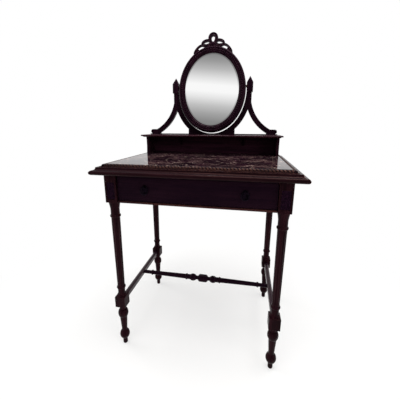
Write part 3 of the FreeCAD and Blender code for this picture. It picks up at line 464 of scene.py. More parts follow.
@dataclass(frozen=True)
class VeinedMarble:
    """Polished plum-brown marble in dark cells between tan and pinkish grey veins.

    Noise values within a span fade from one layer of the stone to the next.
    """

    name: str = "veined_marble"
    deep: str = "12080F"
    ground: str = "2A161F"
    cloud: str = "45323A"
    vein: str = "7E645E"
    thread: str = "AC9488"
    reflection: float = 0.12
    polish: float = 0.025
    unevenness: float = 0.03
    scales: Point = (13.0, 17.0, 17.0)
    swirl: float = 0.8
    ground_span: Span = (0.34, 0.66)
    cloud_span: Span = (0.5, 0.68)
    cloud_share: float = 0.4
    vein_width: float = 0.04
    vein_span: Span = (0.4, 0.6)
    vein_share: float = 0.7
    cell_scale: float = 1.5
    thread_span: Span = (0.008, 0.05)
    thread_cloud: float = 0.5
    thread_share: float = 0.75

    def material(self) -> bpy.types.Material:
        """Builds the finish.

        Returns:
            The material.
        """
        material, nodes = new_material(self.name)
        drawn = nodes.vector("MULTIPLY", nodes.place(), self.scales)
        swirl = nodes.noise(drawn, scale=1.1).other("Color")
        bent = nodes.vector("ADD", drawn, nodes.vector("MULTIPLY", swirl, (self.swirl,) * 3))
        body = nodes.noise(bent, scale=0.8, detail=6.0, roughness=0.62)
        cloudy = nodes.noise(bent, scale=2.4, detail=7.0, roughness=0.68, distortion=0.4)
        ribbed = nodes.noise(bent, scale=1.6, detail=5.0, roughness=0.6, distortion=0.5)
        seams = {"feature": "DISTANCE_TO_EDGE"}
        cells = nodes.node("ShaderNodeTexVoronoi", seams, {"Vector": bent, "Scale": self.cell_scale})
        clouds = cloudy.remap(*self.cloud_span)
        veins = (1.0 - abs(ribbed - 0.5).remap(0.0, self.vein_width)) * body.remap(*self.vein_span)
        threads = (1.0 - cells.remap(*self.thread_span)) * clouds.remap(0.0, self.thread_cloud)
        stone = nodes.mix(body.remap(*self.ground_span), srgb(self.deep), srgb(self.ground))
        clouded = nodes.mix(clouds * self.cloud_share, stone, srgb(self.cloud))
        veined = nodes.mix(veins * self.vein_share, clouded, srgb(self.vein))
        nodes.surface({
            "Base Color": nodes.mix(threads * self.thread_share, veined, srgb(self.thread)),
            "Roughness": body * self.unevenness + self.polish,
            "Specular IOR Level": self.reflection,
        })
        return material


@dataclass(frozen=True)
class AgedMetal:
    """Metal with a cloudy patina that is rubbed bright on its edges."""

    name: str
    bright: str
    dull: str
    roughness: float
    patina_scale: float = 160.0
    patina_span: Span = (0.35, 0.65)
    speck_scale: float = 900.0
    speck_roughness: float = 0.16
    speck_strength: float = 0.1
    speck_depth: float = 0.0002
    edge_radius: float = 0.0006
    edge_span: Span = (0.02, 0.25)
    edge_share: float = 0.5
    edge_polish: float = 0.1

    def material(self) -> bpy.types.Material:
        """Builds the finish.

        Returns:
            The material.
        """
        material, nodes = new_material(self.name)
        place = nodes.place()
        patina = nodes.noise(place, self.patina_scale, detail=5.0, roughness=0.6).remap(*self.patina_span)
        specks = nodes.noise(place, self.speck_scale, detail=2.0)
        rubbed = nodes.edges(self.edge_radius).remap(*self.edge_span)
        body = nodes.mix(patina, srgb(self.dull), srgb(self.bright))
        nodes.surface({
            "Base Color": nodes.mix(rubbed * self.edge_share, body, srgb(self.bright)),
            "Metallic": 1.0,
            "Roughness": self.roughness + specks * self.speck_roughness - rubbed * self.edge_polish,
            "Normal": nodes.bump(specks, self.speck_strength, self.speck_depth),
        })
        return material


@dataclass(frozen=True)
class SilveredGlass:
    """Old mirror glass, clear in the middle and faintly clouded along its edge."""

    name: str = "silvered_glass"
    silver: str = "F8F8F8"
    tarnish: str = "8F8C88"
    half_width: float = 123.0
    half_height: float = 157.0
    level: float = 1018.5
    clear_roughness: float = 0.015
    cloud_roughness: float = 0.2
    cloud_share: float = 0.5
    rim_span: Span = (0.9, 1.02)
    spot_scale: float = 210.0
    spot_span: Span = (0.5, 0.7)

    def material(self) -> bpy.types.Material:
        """Builds the finish.

        Returns:
            The material.
        """
        material, nodes = new_material(self.name)
        place = nodes.place()
        middle = nodes.vector("SUBTRACT", place, (0.0, 0.0, self.level * MM))
        shares = (1 / (self.half_width * MM), 0.0, 1 / (self.half_height * MM))
        reach = nodes.measure("LENGTH", nodes.vector("MULTIPLY", middle, shares))
        spots = nodes.noise(place, self.spot_scale, detail=5.0, roughness=0.7)
        clouding = reach.remap(*self.rim_span) * spots.remap(*self.spot_span)
        nodes.surface({
            "Base Color": nodes.mix(clouding * self.cloud_share, srgb(self.silver), srgb(self.tarnish)),
            "Metallic": 1.0,
            "Roughness": clouding * self.cloud_roughness + self.clear_roughness,
        })
        return material


class Palette:
    """Every finish of the table, built once."""

    def __init__(self) -> None:
        """Builds the materials."""
        # Moulding finish: a darker body that paints the shade of its hollows, and bright reddish rubbed edges
        # that paint the highlight on its nosing, partly wear.
        edge = {"deep": "0C0408", "streak": "220F15", "rub": "8A5648", "rub_share": 0.9, "roughness": 0.24,
                "reflection": 0.07, "tint": "FFAC98"}
        plain = {"deep": "6E4C2E", "streak": "93683F", "pore": "4C321C", "rub": "A27C52",
                 "roughness": 0.55, "reflection": 0.25, "tint": "FFFFFF"}
        self.upright = Wood("mahogany_upright", Fibre.UPRIGHT).material()
        self.leg = Wood("mahogany_leg", Fibre.UPRIGHT, deep="0F0509", streak="2B1319",
                        tint="F0B0B8").material()
        self.across = Wood("mahogany_across", Fibre.ACROSS, deep="110611", streak="1F0E19").material()
        self.depth = Wood("mahogany_depth", Fibre.DEPTH).material()
        self.stretcher = Wood("mahogany_stretcher", Fibre.DEPTH, roughness=0.24, reflection=0.24,
                              tint="F6CED4").material()
        self.carved = Wood("mahogany_carved", Fibre.UPRIGHT, rub="462A22", rub_share=0.4).material()
        # Lighter copy of the cross-grain wood: a painted highlight along the bottom rail under the drawer.
        self.rail = Wood("mahogany_rail", Fibre.ACROSS, deep="29151A", streak="4A2A26").material()
        self.edge_across = Wood("mahogany_edge_across", Fibre.ACROSS, **edge).material()
        self.edge_depth = Wood("mahogany_edge_depth", Fibre.DEPTH, **edge).material()
        # Lighter copies of the wood: painted light that lifts the back board and side boards out of the
        # shelf's shadow; the shelf's lighter body and bright rubbed edge paint the highlight on its front
        # edge.
        self.panel = Wood("mahogany_panel", Fibre.ACROSS, deep="210F1A", streak="40202E").material()
        self.shelf_side = Wood("mahogany_shelf_side", Fibre.DEPTH, deep="180B12", streak="331923").material()
        self.shelf = Wood("mahogany_shelf", Fibre.ACROSS, deep="190B12", streak="351A22", rub="8C6252",
                          rub_share=0.8).material()
        # Near-black ground paints the shade between the strands of the bead; the strand colour is a painted
        # highlight, partly wear.
        self.rope = RopeWood("mahogany_rope", Fibre.ACROSS, deep="060204", streak="10060A", rub="573B33",
                             rub_share=0.8).material()
        self.plain_across = Wood("plain_wood_across", Fibre.ACROSS, **plain).material()
        self.plain_depth = Wood("plain_wood_depth", Fibre.DEPTH, **plain).material()
        self.plain_upright = Wood("plain_wood_upright", Fibre.UPRIGHT, **plain).material()
        self.matted = MattedWood().material()
        self.marble = VeinedMarble().material()
        self.glass = SilveredGlass().material()
        self.bronze = AgedMetal("dark_bronze", "1E1520", "0D080F", 0.46).material()
        self.brass = AgedMetal("aged_brass", "4A371F", "1E150C", 0.36).material()
        self.steel = AgedMetal("screw_steel", "8B8782", "4A4643", 0.4).material()


# Meshes

class Form:
    """A mesh under construction from points in millimetres."""

    WELD = 1e-6
    FLAT_DEGREES = 0.2
    SHARP_DEGREES = 40.0
    SHORT_EDGE = 3.0
    ROUND_SEGMENTS = 2

    def __init__(self) -> None:
        """Starts an empty mesh."""
        self.mesh = bmesh.new()

    def skin(self, rings: Iterable[Iterable[Sequence[float]]], loop: bool = False) -> "Form":
        """Joins closed rings of equal length by quads.

        Args:
            rings: Rings of points in order.
            loop: Whether the last ring meets the first; open ends are capped.

        Returns:
            This form.
        """
        made = [[self.mesh.verts.new(Vector(point) * MM) for point in ring] for ring in rings]
        pairs = list(zip(made, made[1:]))
        if loop:
            pairs.append((made[-1], made[0]))
        else:
            self.mesh.faces.new(made[0])
            self.mesh.faces.new(made[-1])
        for low, high in pairs:
            for here in range(len(low)):
                after = (here + 1) % len(low)
                self.mesh.faces.new((low[here], low[after], high[after], high[here]))
        return self

    def faces(self, points: Sequence[Sequence[float]], corners: Sequence[Sequence[int]]) -> "Form":
        """Adds faces between listed points.

        Args:
            points: Corner points.
            corners: Point numbers of each face.

        Returns:
            This form.
        """
        made = [self.mesh.verts.new(Vector(point) * MM) for point in points]
        for face in corners:
            self.mesh.faces.new([made[number] for number in face])
        return self

    def copy_of(self, node: bpy.types.Object) -> "Form":
        """Takes over a CAD node's mesh with its split corners joined and its flat faces whole.

        Args:
            node: The CAD node, which stays as it is.

        Returns:
            This form.
        """
        self.mesh.from_mesh(node.data)
        bmesh.ops.remove_doubles(self.mesh, verts=self.mesh.verts, dist=self.WELD)
        bmesh.ops.dissolve_limit(self.mesh, angle_limit=math.radians(self.FLAT_DEGREES),
                                 verts=self.mesh.verts, edges=self.mesh.edges)
        return self

    def join(self, other: "Form") -> "Form":
        """Takes over the mesh of another form.

        Args:
            other: The other form, which is used up.

        Returns:
            This form.
        """
        taken = bpy.data.meshes.new("taken")
        other.mesh.to_mesh(taken)
        other.mesh.free()
        self.mesh.from_mesh(taken)
        bpy.data.meshes.remove(taken)
        return self

    def face_out(self) -> "Form":
        """Turns all faces outwards."""
        bmesh.ops.recalc_face_normals(self.mesh, faces=self.mesh.faces)
        return self

    def ease(self, width: float) -> "Form":
        """Rounds the sharp edges, apart from short ones.

        Args:
            width: Width of the round.

        Returns:
            This form.
        """
        limit = math.radians(self.SHARP_DEGREES)
        sharp = [edge for edge in self.mesh.edges
                 if edge.calc_length() > self.SHORT_EDGE * MM and edge.calc_face_angle(0.0) > limit]
        bmesh.ops.bevel(self.mesh, geom=sharp, offset=width * MM, segments=self.ROUND_SEGMENTS, profile=0.5,
                        affect="EDGES", clamp_overlap=False)
        return self

    def lean(self, degrees: float, y: float, level: float) -> "Form":
        """Turns the mesh back about a level axis from left to right.

        Args:
            degrees: Angle by which its head goes back.
            y: Depth of the axis.
            level: Height of the axis.

        Returns:
            This form.
        """
        turn = Matrix.Rotation(math.radians(-degrees), 3, "X")
        bmesh.ops.rotate(self.mesh, cent=Vector((0.0, y, level)) * MM, matrix=turn, verts=self.mesh.verts)
        return self

    def finish(self, name: str, material: bpy.types.Material, sharp: float = 38.0) -> bpy.types.Object:
        """Ends the mesh as an object.

        Args:
            name: Name of the piece.
            material: Its finish.
            sharp: Angle in degrees from which an edge stays sharp.

        Returns:
            The linked object.
        """
        self.face_out()
        mesh = bpy.data.meshes.new(name)
        self.mesh.to_mesh(mesh)
        self.mesh.free()
        mesh.shade_smooth()
        mesh.set_sharp_from_angle(angle=math.radians(sharp))
        mesh.materials.clear()
        mesh.materials.append(material)
        piece = bpy.data.objects.new(name, mesh)
        bpy.context.scene.collection.objects.link(piece)
        self.even(piece)
        return piece

    @staticmethod
    def even(piece: bpy.types.Object) -> None:
        """Lets large faces set the normals that they share with the small ones of a rounded edge.

        Args:
            piece: A linked piece without modifiers, whose mesh is replaced.
        """
        modifier = piece.modifiers.new("even", "WEIGHTED_NORMAL")
        modifier.keep_sharp = True
        shaped = piece.evaluated_get(bpy.context.evaluated_depsgraph_get())
        old = piece.data
        piece.data = bpy.data.meshes.new_from_object(shaped)
        piece.modifiers.clear()
        name = old.name
        bpy.data.meshes.remove(old)
        piece.data.name = name


def arc(start: Flat, via: Flat, end: Flat, steps: int) -> list[Flat]:
    """Points on the circle through three points, without the first one.

    Args:
        start: First point.
        via: Point on the way.
        end: Last point.
        steps: Number of points.

    Returns:
        The points after the first.
    """
    (ax, ay), (bx, by), (cx, cy) = start, via, end
    double = 2 * (ax * (by - cy) + bx * (cy - ay) + cx * (ay - by))
    squares = [x * x + y * y for x, y in (start, via, end)]
    mx = (squares[0] * (by - cy) + squares[1] * (cy - ay) + squares[2] * (ay - by)) / double
    my = (squares[0] * (cx - bx) + squares[1] * (ax - cx) + squares[2] * (bx - ax)) / double
    radius = math.hypot(ax - mx, ay - my)
    first = math.atan2(ay - my, ax - mx)
    turn = math.tau * (1 if double > 0 else -1)
    sweep = (math.atan2(cy - my, cx - mx) - first) % turn
    angles = [first + sweep * step / steps for step in range(1, steps + 1)]
    return [(mx + radius * math.cos(angle), my + radius * math.sin(angle)) for angle in angles]


def softened(line: Sequence[Flat], size: float) -> list[Flat]:
    """Line with its sharp corners cut back.

    Args:
        line: Points of an open line.
        size: Length cut off on each side of a corner, if the sides are long enough.

    Returns:
        The softened line.
    """
    sharper_than = 35.0
    most_of_a_side = 0.45
    points = [line[0]]
    for before, here, after in zip(line, line[1:], line[2:]):
        back = Vector(before) - Vector(here)
        ahead = Vector(after) - Vector(here)
        turn = math.pi - back.angle(ahead, math.pi)
        if math.degrees(turn) < sharper_than:
            points.append(here)
            continue
        for arm in (back, ahead):
            cut = min(size, arm.length * most_of_a_side)
            points.append(tuple(Vector(here) + arm.normalized() * cut))
    return points + [line[-1]]


def full_turn(count: int) -> list[float]:
    """Angles of evenly spaced points on a full turn."""
    return [math.tau * step / count for step in range(count)]


def hump(share: float) -> float:
    """Height of a half circle at a share of its width: 0 at both ends and 1 in the middle."""
    return math.sqrt(max(1.0 - (2.0 * share - 1.0) ** 2, 0.0))


# Sub-assemblies

class Workshop:
    """Seats finished pieces on the frame and reports each one."""

    def seat(self, piece: bpy.types.Object, body: Body, slot: Slot, nodes: Sequence[str] = ()) -> None:
        """Lets a new piece ride on a body.

        Args:
            piece: The new piece.
            body: Body that it moves with.
            slot: Record slot that its finish stands for; not used.
            nodes: CAD nodes that it replaces.
        """
        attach(piece, body.value)
        if nodes:
            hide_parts(*nodes)
        LOG.info("%s rides on %s, %d faces", piece.name, body.value, len(piece.data.polygons))

    def ease(self, node: str, material: bpy.types.Material, width: float, body: Body = Body.TABLE,
             slot: Slot = Slot.MAHOGANY) -> None:
        """Puts a copy with rounded edges in the place of a CAD node.

        Args:
            node: Name of the CAD node.
            material: Finish of the copy.
            width: Width of the rounded edges.
            body: Body that it moves with.
            slot: Record slot of the finish.
        """
        piece = Form().copy_of(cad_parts[node]).ease(width).finish(node + "_eased", material)
        self.seat(piece, body, slot, [node])

    def keep(self, node: str, material: bpy.types.Material) -> None:
        """Keeps a CAD node as it is under a better material.

        Args:
            node: Name of the CAD node.
            material: Its finish.
        """
        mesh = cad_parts[node].data
        mesh.materials.clear()
        mesh.materials.append(material)
        LOG.info("%s stays with %s", node, material.name)


@dataclass
class SubAssembly:
    """Pieces that are built and dressed together."""

    shop: Workshop
    palette: Palette

    def build(self) -> None:
        """Makes the pieces and seats them."""
        raise NotImplementedError


@dataclass(frozen=True)
class Turn:
    """One stage of a turning: its height and radii; a stage with no bulge is a straight cone."""

    height: float
    low: float
    high: float
    bulge: float | None = None
    steps: int = 12


@dataclass(frozen=True)
class Block:
    """Half width of a square block or panel and the levels of its foot and head."""

    half: float
    low: float
    high: float


@dataclass
class Legs(SubAssembly):
    """Four turned legs with a fluted shaft between square blocks."""

    spread_x: float = 287.0
    spread_y: float = 200.0
    foot: tuple[Turn, ...] = (
        Turn(5.0, 6.9, 9.0, 8.6, 4),
        Turn(19.0, 9.0, 9.0),
        Turn(40.0, 9.0, 10.25, 19.0, 16),
        Turn(64.0, 10.25, 14.25),
        Turn(32.0, 15.0, 15.0, 19.5, 14),
        Turn(19.0, 11.5, 11.5),
        Turn(45.0, 17.5, 17.5),
        Turn(10.0, 17.5, 13.25, 17.0, 8),
        Turn(22.0, 13.25, 13.25),
        Turn(11.0, 13.5, 13.5, 16.75, 10),
    )
    shaft: Turn = Turn(280.0, 13.5, 15.5, None, 40)
    neck: tuple[Turn, ...] = (
        Turn(11.0, 15.5, 15.75, 18.75, 10),
        Turn(21.0, 15.75, 15.75),
        Turn(26.0, 15.75, 20.5, 17.75, 12),
    )
    corner_cut: float = 0.5
    flutes: int = 12
    flute_depth: float = 1.3
    flute_end: float = 16.0
    flute_start: float = 0.6
    flute_power: float = 0.8
    segments: int = 96
    low_block: Block = Block(20.0, 179.0, 224.0)
    head: Block = Block(21.0, 605.0, 706.0)
    panel: Block = Block(15.0, 617.0, 678.0)
    panel_depth: float = 2.5
    ease: float = 0.9
    ease_middle: float = 0.3
    ground_thickness: float = 0.7
    ground_columns: int = 41
    ground_rows: int = 83
    dimple_share: float = 0.4
    dimple_across: Flat = (1.1, 0.9)
    dimple_up: Flat = (1.2, 0.7)

    def build(self) -> None:
        """Makes the four legs and the matted panels of the front ones."""
        for end in End:
            for side in Side:
                place = Vector((side.value * self.spread_x, end.value * self.spread_y, 0.0))
                self.leg(f"leg_{end.name.lower()}_{side.hand}", place, end)
                if end is End.FRONT:
                    ground = self.panel_ground(place).finish(f"panel_ground_{side.hand}", self.palette.matted)
                    self.shop.seat(ground, Body.TABLE, Slot.MAHOGANY)

    def leg(self, name: str, place: Vector, end: End) -> None:
        """Makes one leg.

        Args:
            name: Name of the CAD node that it replaces.
            place: Middle of its foot.
            end: Whether it is a front or a back leg.
        """
        form = self.turning(place)
        self.block(form, place, self.low_block)
        if end is End.FRONT:
            form.join(self.panelled_head(place))
        else:
            self.block(form, place, self.head)
        piece = form.finish(name + "_turned", self.palette.leg)
        self.shop.seat(piece, Body.TABLE, Slot.MAHOGANY, [name])

    def profile(self) -> tuple[list[Flat], Span]:
        """Outline of the turning.

        Returns:
            Radius and level of each point, and the levels between which the turning is fluted.
        """
        line = [(self.foot[0].low, 0.0)]
        level = 0.0
        fluted = (0.0, 0.0)
        for stage in (*self.foot, self.shaft, *self.neck):
            if line[-1][0] != stage.low:
                line.append((stage.low, level))
            top = level + stage.height
            if stage is self.shaft:
                fluted = (level, top)
                shares = [step / stage.steps for step in range(1, stage.steps + 1)]
                line += [(stage.low + (stage.high - stage.low) * share, level + stage.height * share)
                         for share in shares]
            elif stage.bulge is None:
                line.append((stage.high, top))
            else:
                line += arc(line[-1], (stage.bulge, level + stage.height / 2), (stage.high, top), stage.steps)
            level = top
        return softened(line, self.corner_cut), fluted

    def turning(self, place: Vector) -> Form:
        """Turned part of a leg.

        Args:
            place: Middle of its foot.

        Returns:
            The turning.
        """
        line, (low, high) = self.profile()
        rings = []
        for radius, level in line:
            inside = min(level - low, high - level) / self.flute_end
            depth = self.flute_depth * math.sqrt(min(max(inside - self.flute_start, 0.0), 1.0))
            ring = []
            for angle in full_turn(self.segments):
                hollow = abs(math.sin(angle * self.flutes / 2)) ** self.flute_power
                reach = radius - depth * hollow
                ring.append((place.x + reach * math.cos(angle), place.y + reach * math.sin(angle), level))
            rings.append(ring)
        return Form().skin(rings)

    def block(self, form: Form, place: Vector, block: Block) -> None:
        """Adds a square block with rounded edges to a leg.

        Args:
            form: Mesh that it is added to.
            place: Middle of the leg's foot.
            block: Size of the block.
        """
        ease = self.ease
        cut = ease * self.ease_middle
        inset = block.half - ease
        stack = [(inset, block.low), (block.half, block.low + ease), (block.half, block.high - ease),
                 (inset, block.high)]
        cuts = [(ease, 0.0), (cut, cut), (0.0, ease)]
        corners = [(1.0, -1.0, cuts), (1.0, 1.0, cuts[::-1]), (-1.0, 1.0, cuts), (-1.0, -1.0, cuts[::-1])]
        rings = []
        for reach, level in stack:
            rings.append([(place.x + sx * (reach - dx), place.y + sy * (reach - dy), level)
                          for sx, sy, rounded in corners for dx, dy in rounded])
        form.skin(rings)

    def panelled_head(self, place: Vector) -> Form:
        """Head block whose front has a sunken panel.

        Args:
            place: Middle of the leg's foot.

        Returns:
            The block with rounded edges.
        """
        half = self.head.half
        wide = self.panel.half
        front = place.y - half
        rear = place.y + half
        floor = front + self.panel_depth
        points = [(place.x + x, y, z) for z in (self.head.low, self.head.high)
                  for x, y in ((-half, front), (half, front), (half, rear), (-half, rear))]
        points += [(place.x + x, y, z) for y in (front, floor)
                   for x, z in ((-wide, self.panel.low), (wide, self.panel.low),
                                (wide, self.panel.high), (-wide, self.panel.high))]
        corners = [(0, 3, 2, 1), (4, 5, 6, 7), (1, 2, 6, 5), (2, 3, 7, 6), (3, 0, 4, 7),
                   (0, 1, 9, 8), (1, 5, 10, 9), (5, 4, 11, 10), (4, 0, 8, 11),
                   (8, 9, 13, 12), (9, 10, 14, 13), (10, 11, 15, 14), (11, 8, 12, 15), (12, 13, 14, 15)]
        return Form().faces(points, corners).face_out().ease(self.ease)

    def panel_ground(self, place: Vector) -> Form:
        """Thin punched ground that lies on the floor of a sunken panel.

        Args:
            place: Middle of the leg's foot.

        Returns:
            The ground.
        """
        panel = self.panel
        floor = place.y - self.head.half + self.panel_depth
        columns = self.ground_columns
        rows = self.ground_rows
        points = []
        for row in range(rows):
            for column in range(columns):
                x = place.x - panel.half + 2 * panel.half * column / (columns - 1)
                z = panel.low + (panel.high - panel.low) * row / (rows - 1)
                edge = row in (0, rows - 1) or column in (0, columns - 1)
                points.append((x, floor - (0.0 if edge else self.dimple(row, column)), z))
        faces = []
        for row in range(rows - 1):
            for column in range(columns - 1):
                here = row * columns + column
                faces.append((here, here + 1, here + columns + 1, here + columns))
        return Form().faces(points, faces)

    def dimple(self, row: int, column: int) -> float:
        """Height of the punched ground at one of its points.

        Args:
            row: Row of the point.
            column: Column of the point.

        Returns:
            Height over the floor of the panel.
        """
        across = math.sin(column * self.dimple_across[0] + math.sin(row * self.dimple_across[1]))
        up = math.sin(row * self.dimple_up[0] + math.sin(column * self.dimple_up[1]))
        return self.ground_thickness * (1.0 - self.dimple_share + self.dimple_share * (across * up))


@dataclass
class Stretchers(SubAssembly):
    """Rails that join the legs near the floor."""

    ease: float = 0.8

    def build(self) -> None:
        """Dresses the side rails and the turned cross rail."""
        for side in Side:
            self.shop.ease("side_stretcher_" + side.hand, self.palette.stretcher, self.ease)
        self.shop.ease("cross_stretcher", self.palette.across, self.ease)


@dataclass
class Apron(SubAssembly):
    """Boards under the top with the strips that carry the drawer."""

    ease: float = 1.0

    def build(self) -> None:
        """Dresses the boards, rails and strips."""
        for node in ("back_apron", "front_top_rail"):
            self.shop.ease(node, self.palette.across, self.ease)
        self.shop.ease("front_bottom_rail", self.palette.rail, self.ease)
        for side in Side:
            self.shop.ease("side_apron_" + side.hand, self.palette.depth, self.ease)
            for stem in ("drawer_runner_", "drawer_kicker_"):
                self.shop.ease(stem + side.hand, self.palette.plain_depth, self.ease, slot=Slot.DRAWER_WOOD)
        self.shop.ease("drawer_stops", self.palette.plain_across, self.ease, slot=Slot.DRAWER_WOOD)


@dataclass
class Drawer(SubAssembly):
    """Drawer box with its polished front."""

    ease: float = 1.0

    def build(self) -> None:
        """Dresses the five boards."""
        self.shop.ease("drawer_front", self.palette.across, self.ease, Body.DRAWER)
        boards = {"side_left": self.palette.plain_depth, "side_right": self.palette.plain_depth,
                  "back": self.palette.plain_across, "bottom": self.palette.plain_across}
        for board, material in boards.items():
            self.shop.ease("drawer_" + board, material, self.ease, Body.DRAWER, Slot.DRAWER_WOOD)


@dataclass
class Pulls(SubAssembly):
    """Two drop-ring pulls on embossed oval plates."""

    spread: float = 166.0
    plate_half: Flat = (12.0, 18.0)
    plate_level: float = 654.0
    plate_rear: float = -212.0
    plate_relief: tuple[Flat, ...] = (
        (1.0, 0.0), (1.0, 0.9), (0.97, 1.7), (0.91, 2.1), (0.85, 1.7), (0.81, 1.1), (0.76, 1.3),
        (0.6, 1.75), (0.4, 2.15), (0.2, 2.35), (0.02, 2.4),
    )
    plate_points: int = 64
    pivot: Flat = (-219.0, 664.0)
    loop_radius: float = 12.75
    loop_steps: int = 56
    wire: float = 1.75
    wire_points: int = 16
    swell: float = 0.26
    bead_rise: float = 0.6
    bead_spread: float = 0.16
    half_bar: float = 6.0
    bar_end: tuple[Flat, ...] = ((1.2, 0.6), (0.8, 1.0), (0.0, 1.0))

    def build(self) -> None:
        """Makes plates and rings and dresses posts and nuts."""
        plates = Form()
        for side in Side:
            self.plate(plates, side.value * self.spread)
        embossed = plates.finish("pull_plates_embossed", self.palette.bronze)
        self.shop.seat(embossed, Body.DRAWER, Slot.BRONZE, ["pull_plates"])
        for side, body in ((Side.LEFT, Body.LEFT_RING), (Side.RIGHT, Body.RIGHT_RING)):
            ring = self.ring(side.value * self.spread).finish(f"drop_ring_{side.hand}", self.palette.bronze)
            self.shop.seat(ring, body, Slot.BRONZE, [f"pull_ring_{side.hand}"])
        self.shop.keep("pull_posts", self.palette.bronze)
        self.shop.keep("pull_nuts", self.palette.brass)

    def plate(self, form: Form, x: float) -> None:
        """Adds an oval plate with a raised rim and a domed middle.

        Args:
            form: Mesh that it is added to.
            x: Middle of the pull.
        """
        wide, high = self.plate_half
        rings = []
        for share, rise in self.plate_relief:
            rings.append([(x + wide * share * math.cos(turn), self.plate_rear - rise,
                           self.plate_level + high * share * math.sin(turn))
                          for turn in full_turn(self.plate_points)])
        form.skin(rings)

    def ring(self, x: float) -> Form:
        """Drop ring that swells towards a bead at its lowest point, and the bar that it turns on.

        Args:
            x: Middle of the pull.

        Returns:
            The ring, hanging.
        """
        y, level = self.pivot
        start = math.asin(self.half_bar / self.loop_radius)
        middle = level - self.loop_radius * math.cos(start)
        loop = []
        for step in range(self.loop_steps + 1):
            angle = start + (math.tau - 2 * start) * step / self.loop_steps
            low = (1 - math.cos(angle)) / 2
            bead = math.exp(-(((angle - math.pi) / self.bead_spread) ** 2))
            thicker = self.swell * low ** 3 + self.bead_rise * bead
            wire = self.wire + thicker
            reach = self.loop_radius - thicker
            loop.append([(x + (reach + wire * math.cos(turn)) * math.sin(angle), y + wire * math.sin(turn),
                          middle + (reach + wire * math.cos(turn)) * math.cos(angle))
                         for turn in full_turn(self.wire_points)])
        left = [(-self.half_bar - past, self.wire * share) for past, share in self.bar_end]
        right = [(-along, wire) for along, wire in reversed(left)]
        bar = [[(x + along, y + wire * math.cos(turn), level + wire * math.sin(turn))
                for turn in full_turn(self.wire_points)] for along, wire in left + right]
        return Form().skin(loop).skin(bar)


@dataclass
class Top(SubAssembly):
    """Marble in a moulded edge with a twisted bead."""

    half_width: float = 344.0
    half_depth: float = 252.0
    board_ease: float = 0.8
    edge_ease: float = 0.6
    bead_inset: float = 37.0
    bead_radius: float = 6.0
    bead_spring: float = 734.0
    bead_foot: float = 733.0
    bead_sharp: float = 50.0
    strand_pitch: float = 11.0
    strand_depth: float = 1.9
    strand_lean: float = 0.9
    arc_points: int = 14
    ring_gap: float = 1.0

    def build(self) -> None:
        """Dresses the slab and mouldings and makes the twisted bead."""
        self.shop.ease("marble_top", self.palette.marble, self.board_ease, slot=Slot.MARBLE)
        self.shop.ease("top_moulding_front", self.palette.edge_across, self.edge_ease)
        for side in Side:
            self.shop.ease("top_moulding_" + side.hand, self.palette.edge_depth, self.edge_ease)
            self.seat_bead(self.side_bead(side), side.hand)
        self.seat_bead(self.front_bead(), "front")
        self.shop.ease("top_back_rail", self.palette.across, self.board_ease)
        self.shop.ease("top_board", self.palette.plain_across, self.board_ease, slot=Slot.DRAWER_WOOD)
        self.shop.keep("top_screws", self.palette.steel)

    def seat_bead(self, form: Form, run: str) -> None:
        """Puts a twisted bead in the place of the plain one on this run of the edge."""
        bead = form.finish("twisted_bead_" + run, self.palette.rope, self.bead_sharp)
        self.shop.seat(bead, Body.TABLE, Slot.MAHOGANY, ["rope_bead_" + run])

    def section(self, along: Callable[[float], float]) -> list[Point]:
        """Half-round section of the bead where its strands cross one place.

        Args:
            along: Place along the bead for an inset from the tip of the edge.

        Returns:
            Inset, place along and level of each point.
        """
        outer = self.bead_inset - self.bead_radius
        inner = self.bead_inset + self.bead_radius
        points = [(outer, along(outer), self.bead_foot)]
        for step in range(self.arc_points + 1):
            turn = math.pi * step / self.arc_points
            plain = self.bead_inset - self.bead_radius * math.cos(turn)
            phase = (along(plain) / self.strand_pitch + self.strand_lean * turn / math.pi) % 1.0
            radius = self.bead_radius - self.strand_depth * (1.0 - hump(phase))
            inset = self.bead_inset - radius * math.cos(turn)
            points.append((inset, along(inset), self.bead_spring + radius * math.sin(turn)))
        points.append((inner, along(inner), self.bead_foot))
        return points

    def front_bead(self) -> Form:
        """Bead along the front, mitred at both ends.

        Returns:
            The bead.
        """
        count = int(2 * self.half_width / self.ring_gap)
        rings = []
        for number in range(count + 1):
            share = 2 * number / count - 1
            points = self.section(lambda inset: share * (self.half_width - inset))
            rings.append([(x, inset - self.half_depth, z) for inset, x, z in points])
        return Form().skin(rings)

    def side_bead(self, side: Side) -> Form:
        """Bead along one side, mitred at its front end.

        Args:
            side: Side of the table.

        Returns:
            The bead.
        """
        count = int(2 * self.half_depth / self.ring_gap)
        rings = []
        for number in range(count + 1):
            share = number / count
            points = self.section(
                lambda inset: (inset - self.half_depth) * (1 - share) + self.half_depth * share)
            rings.append([(side.value * (self.half_width - inset), y, z) for inset, y, z in points])
        return Form().skin(rings)


@dataclass
class RaisedShelf(SubAssembly):
    """Open shelf at the back of the top."""

    ease: float = 0.9

    def build(self) -> None:
        """Dresses the boards and brackets."""
        self.shop.ease("gradin_back", self.palette.panel, self.ease)
        self.shop.ease("gradin_shelf", self.palette.shelf, self.ease)
        for side in Side:
            self.shop.ease("gradin_side_" + side.hand, self.palette.shelf_side, self.ease)
            self.shop.ease("shelf_bracket_" + side.hand, self.palette.upright, self.ease)
        self.shop.keep("gradin_dowels", self.palette.plain_upright)


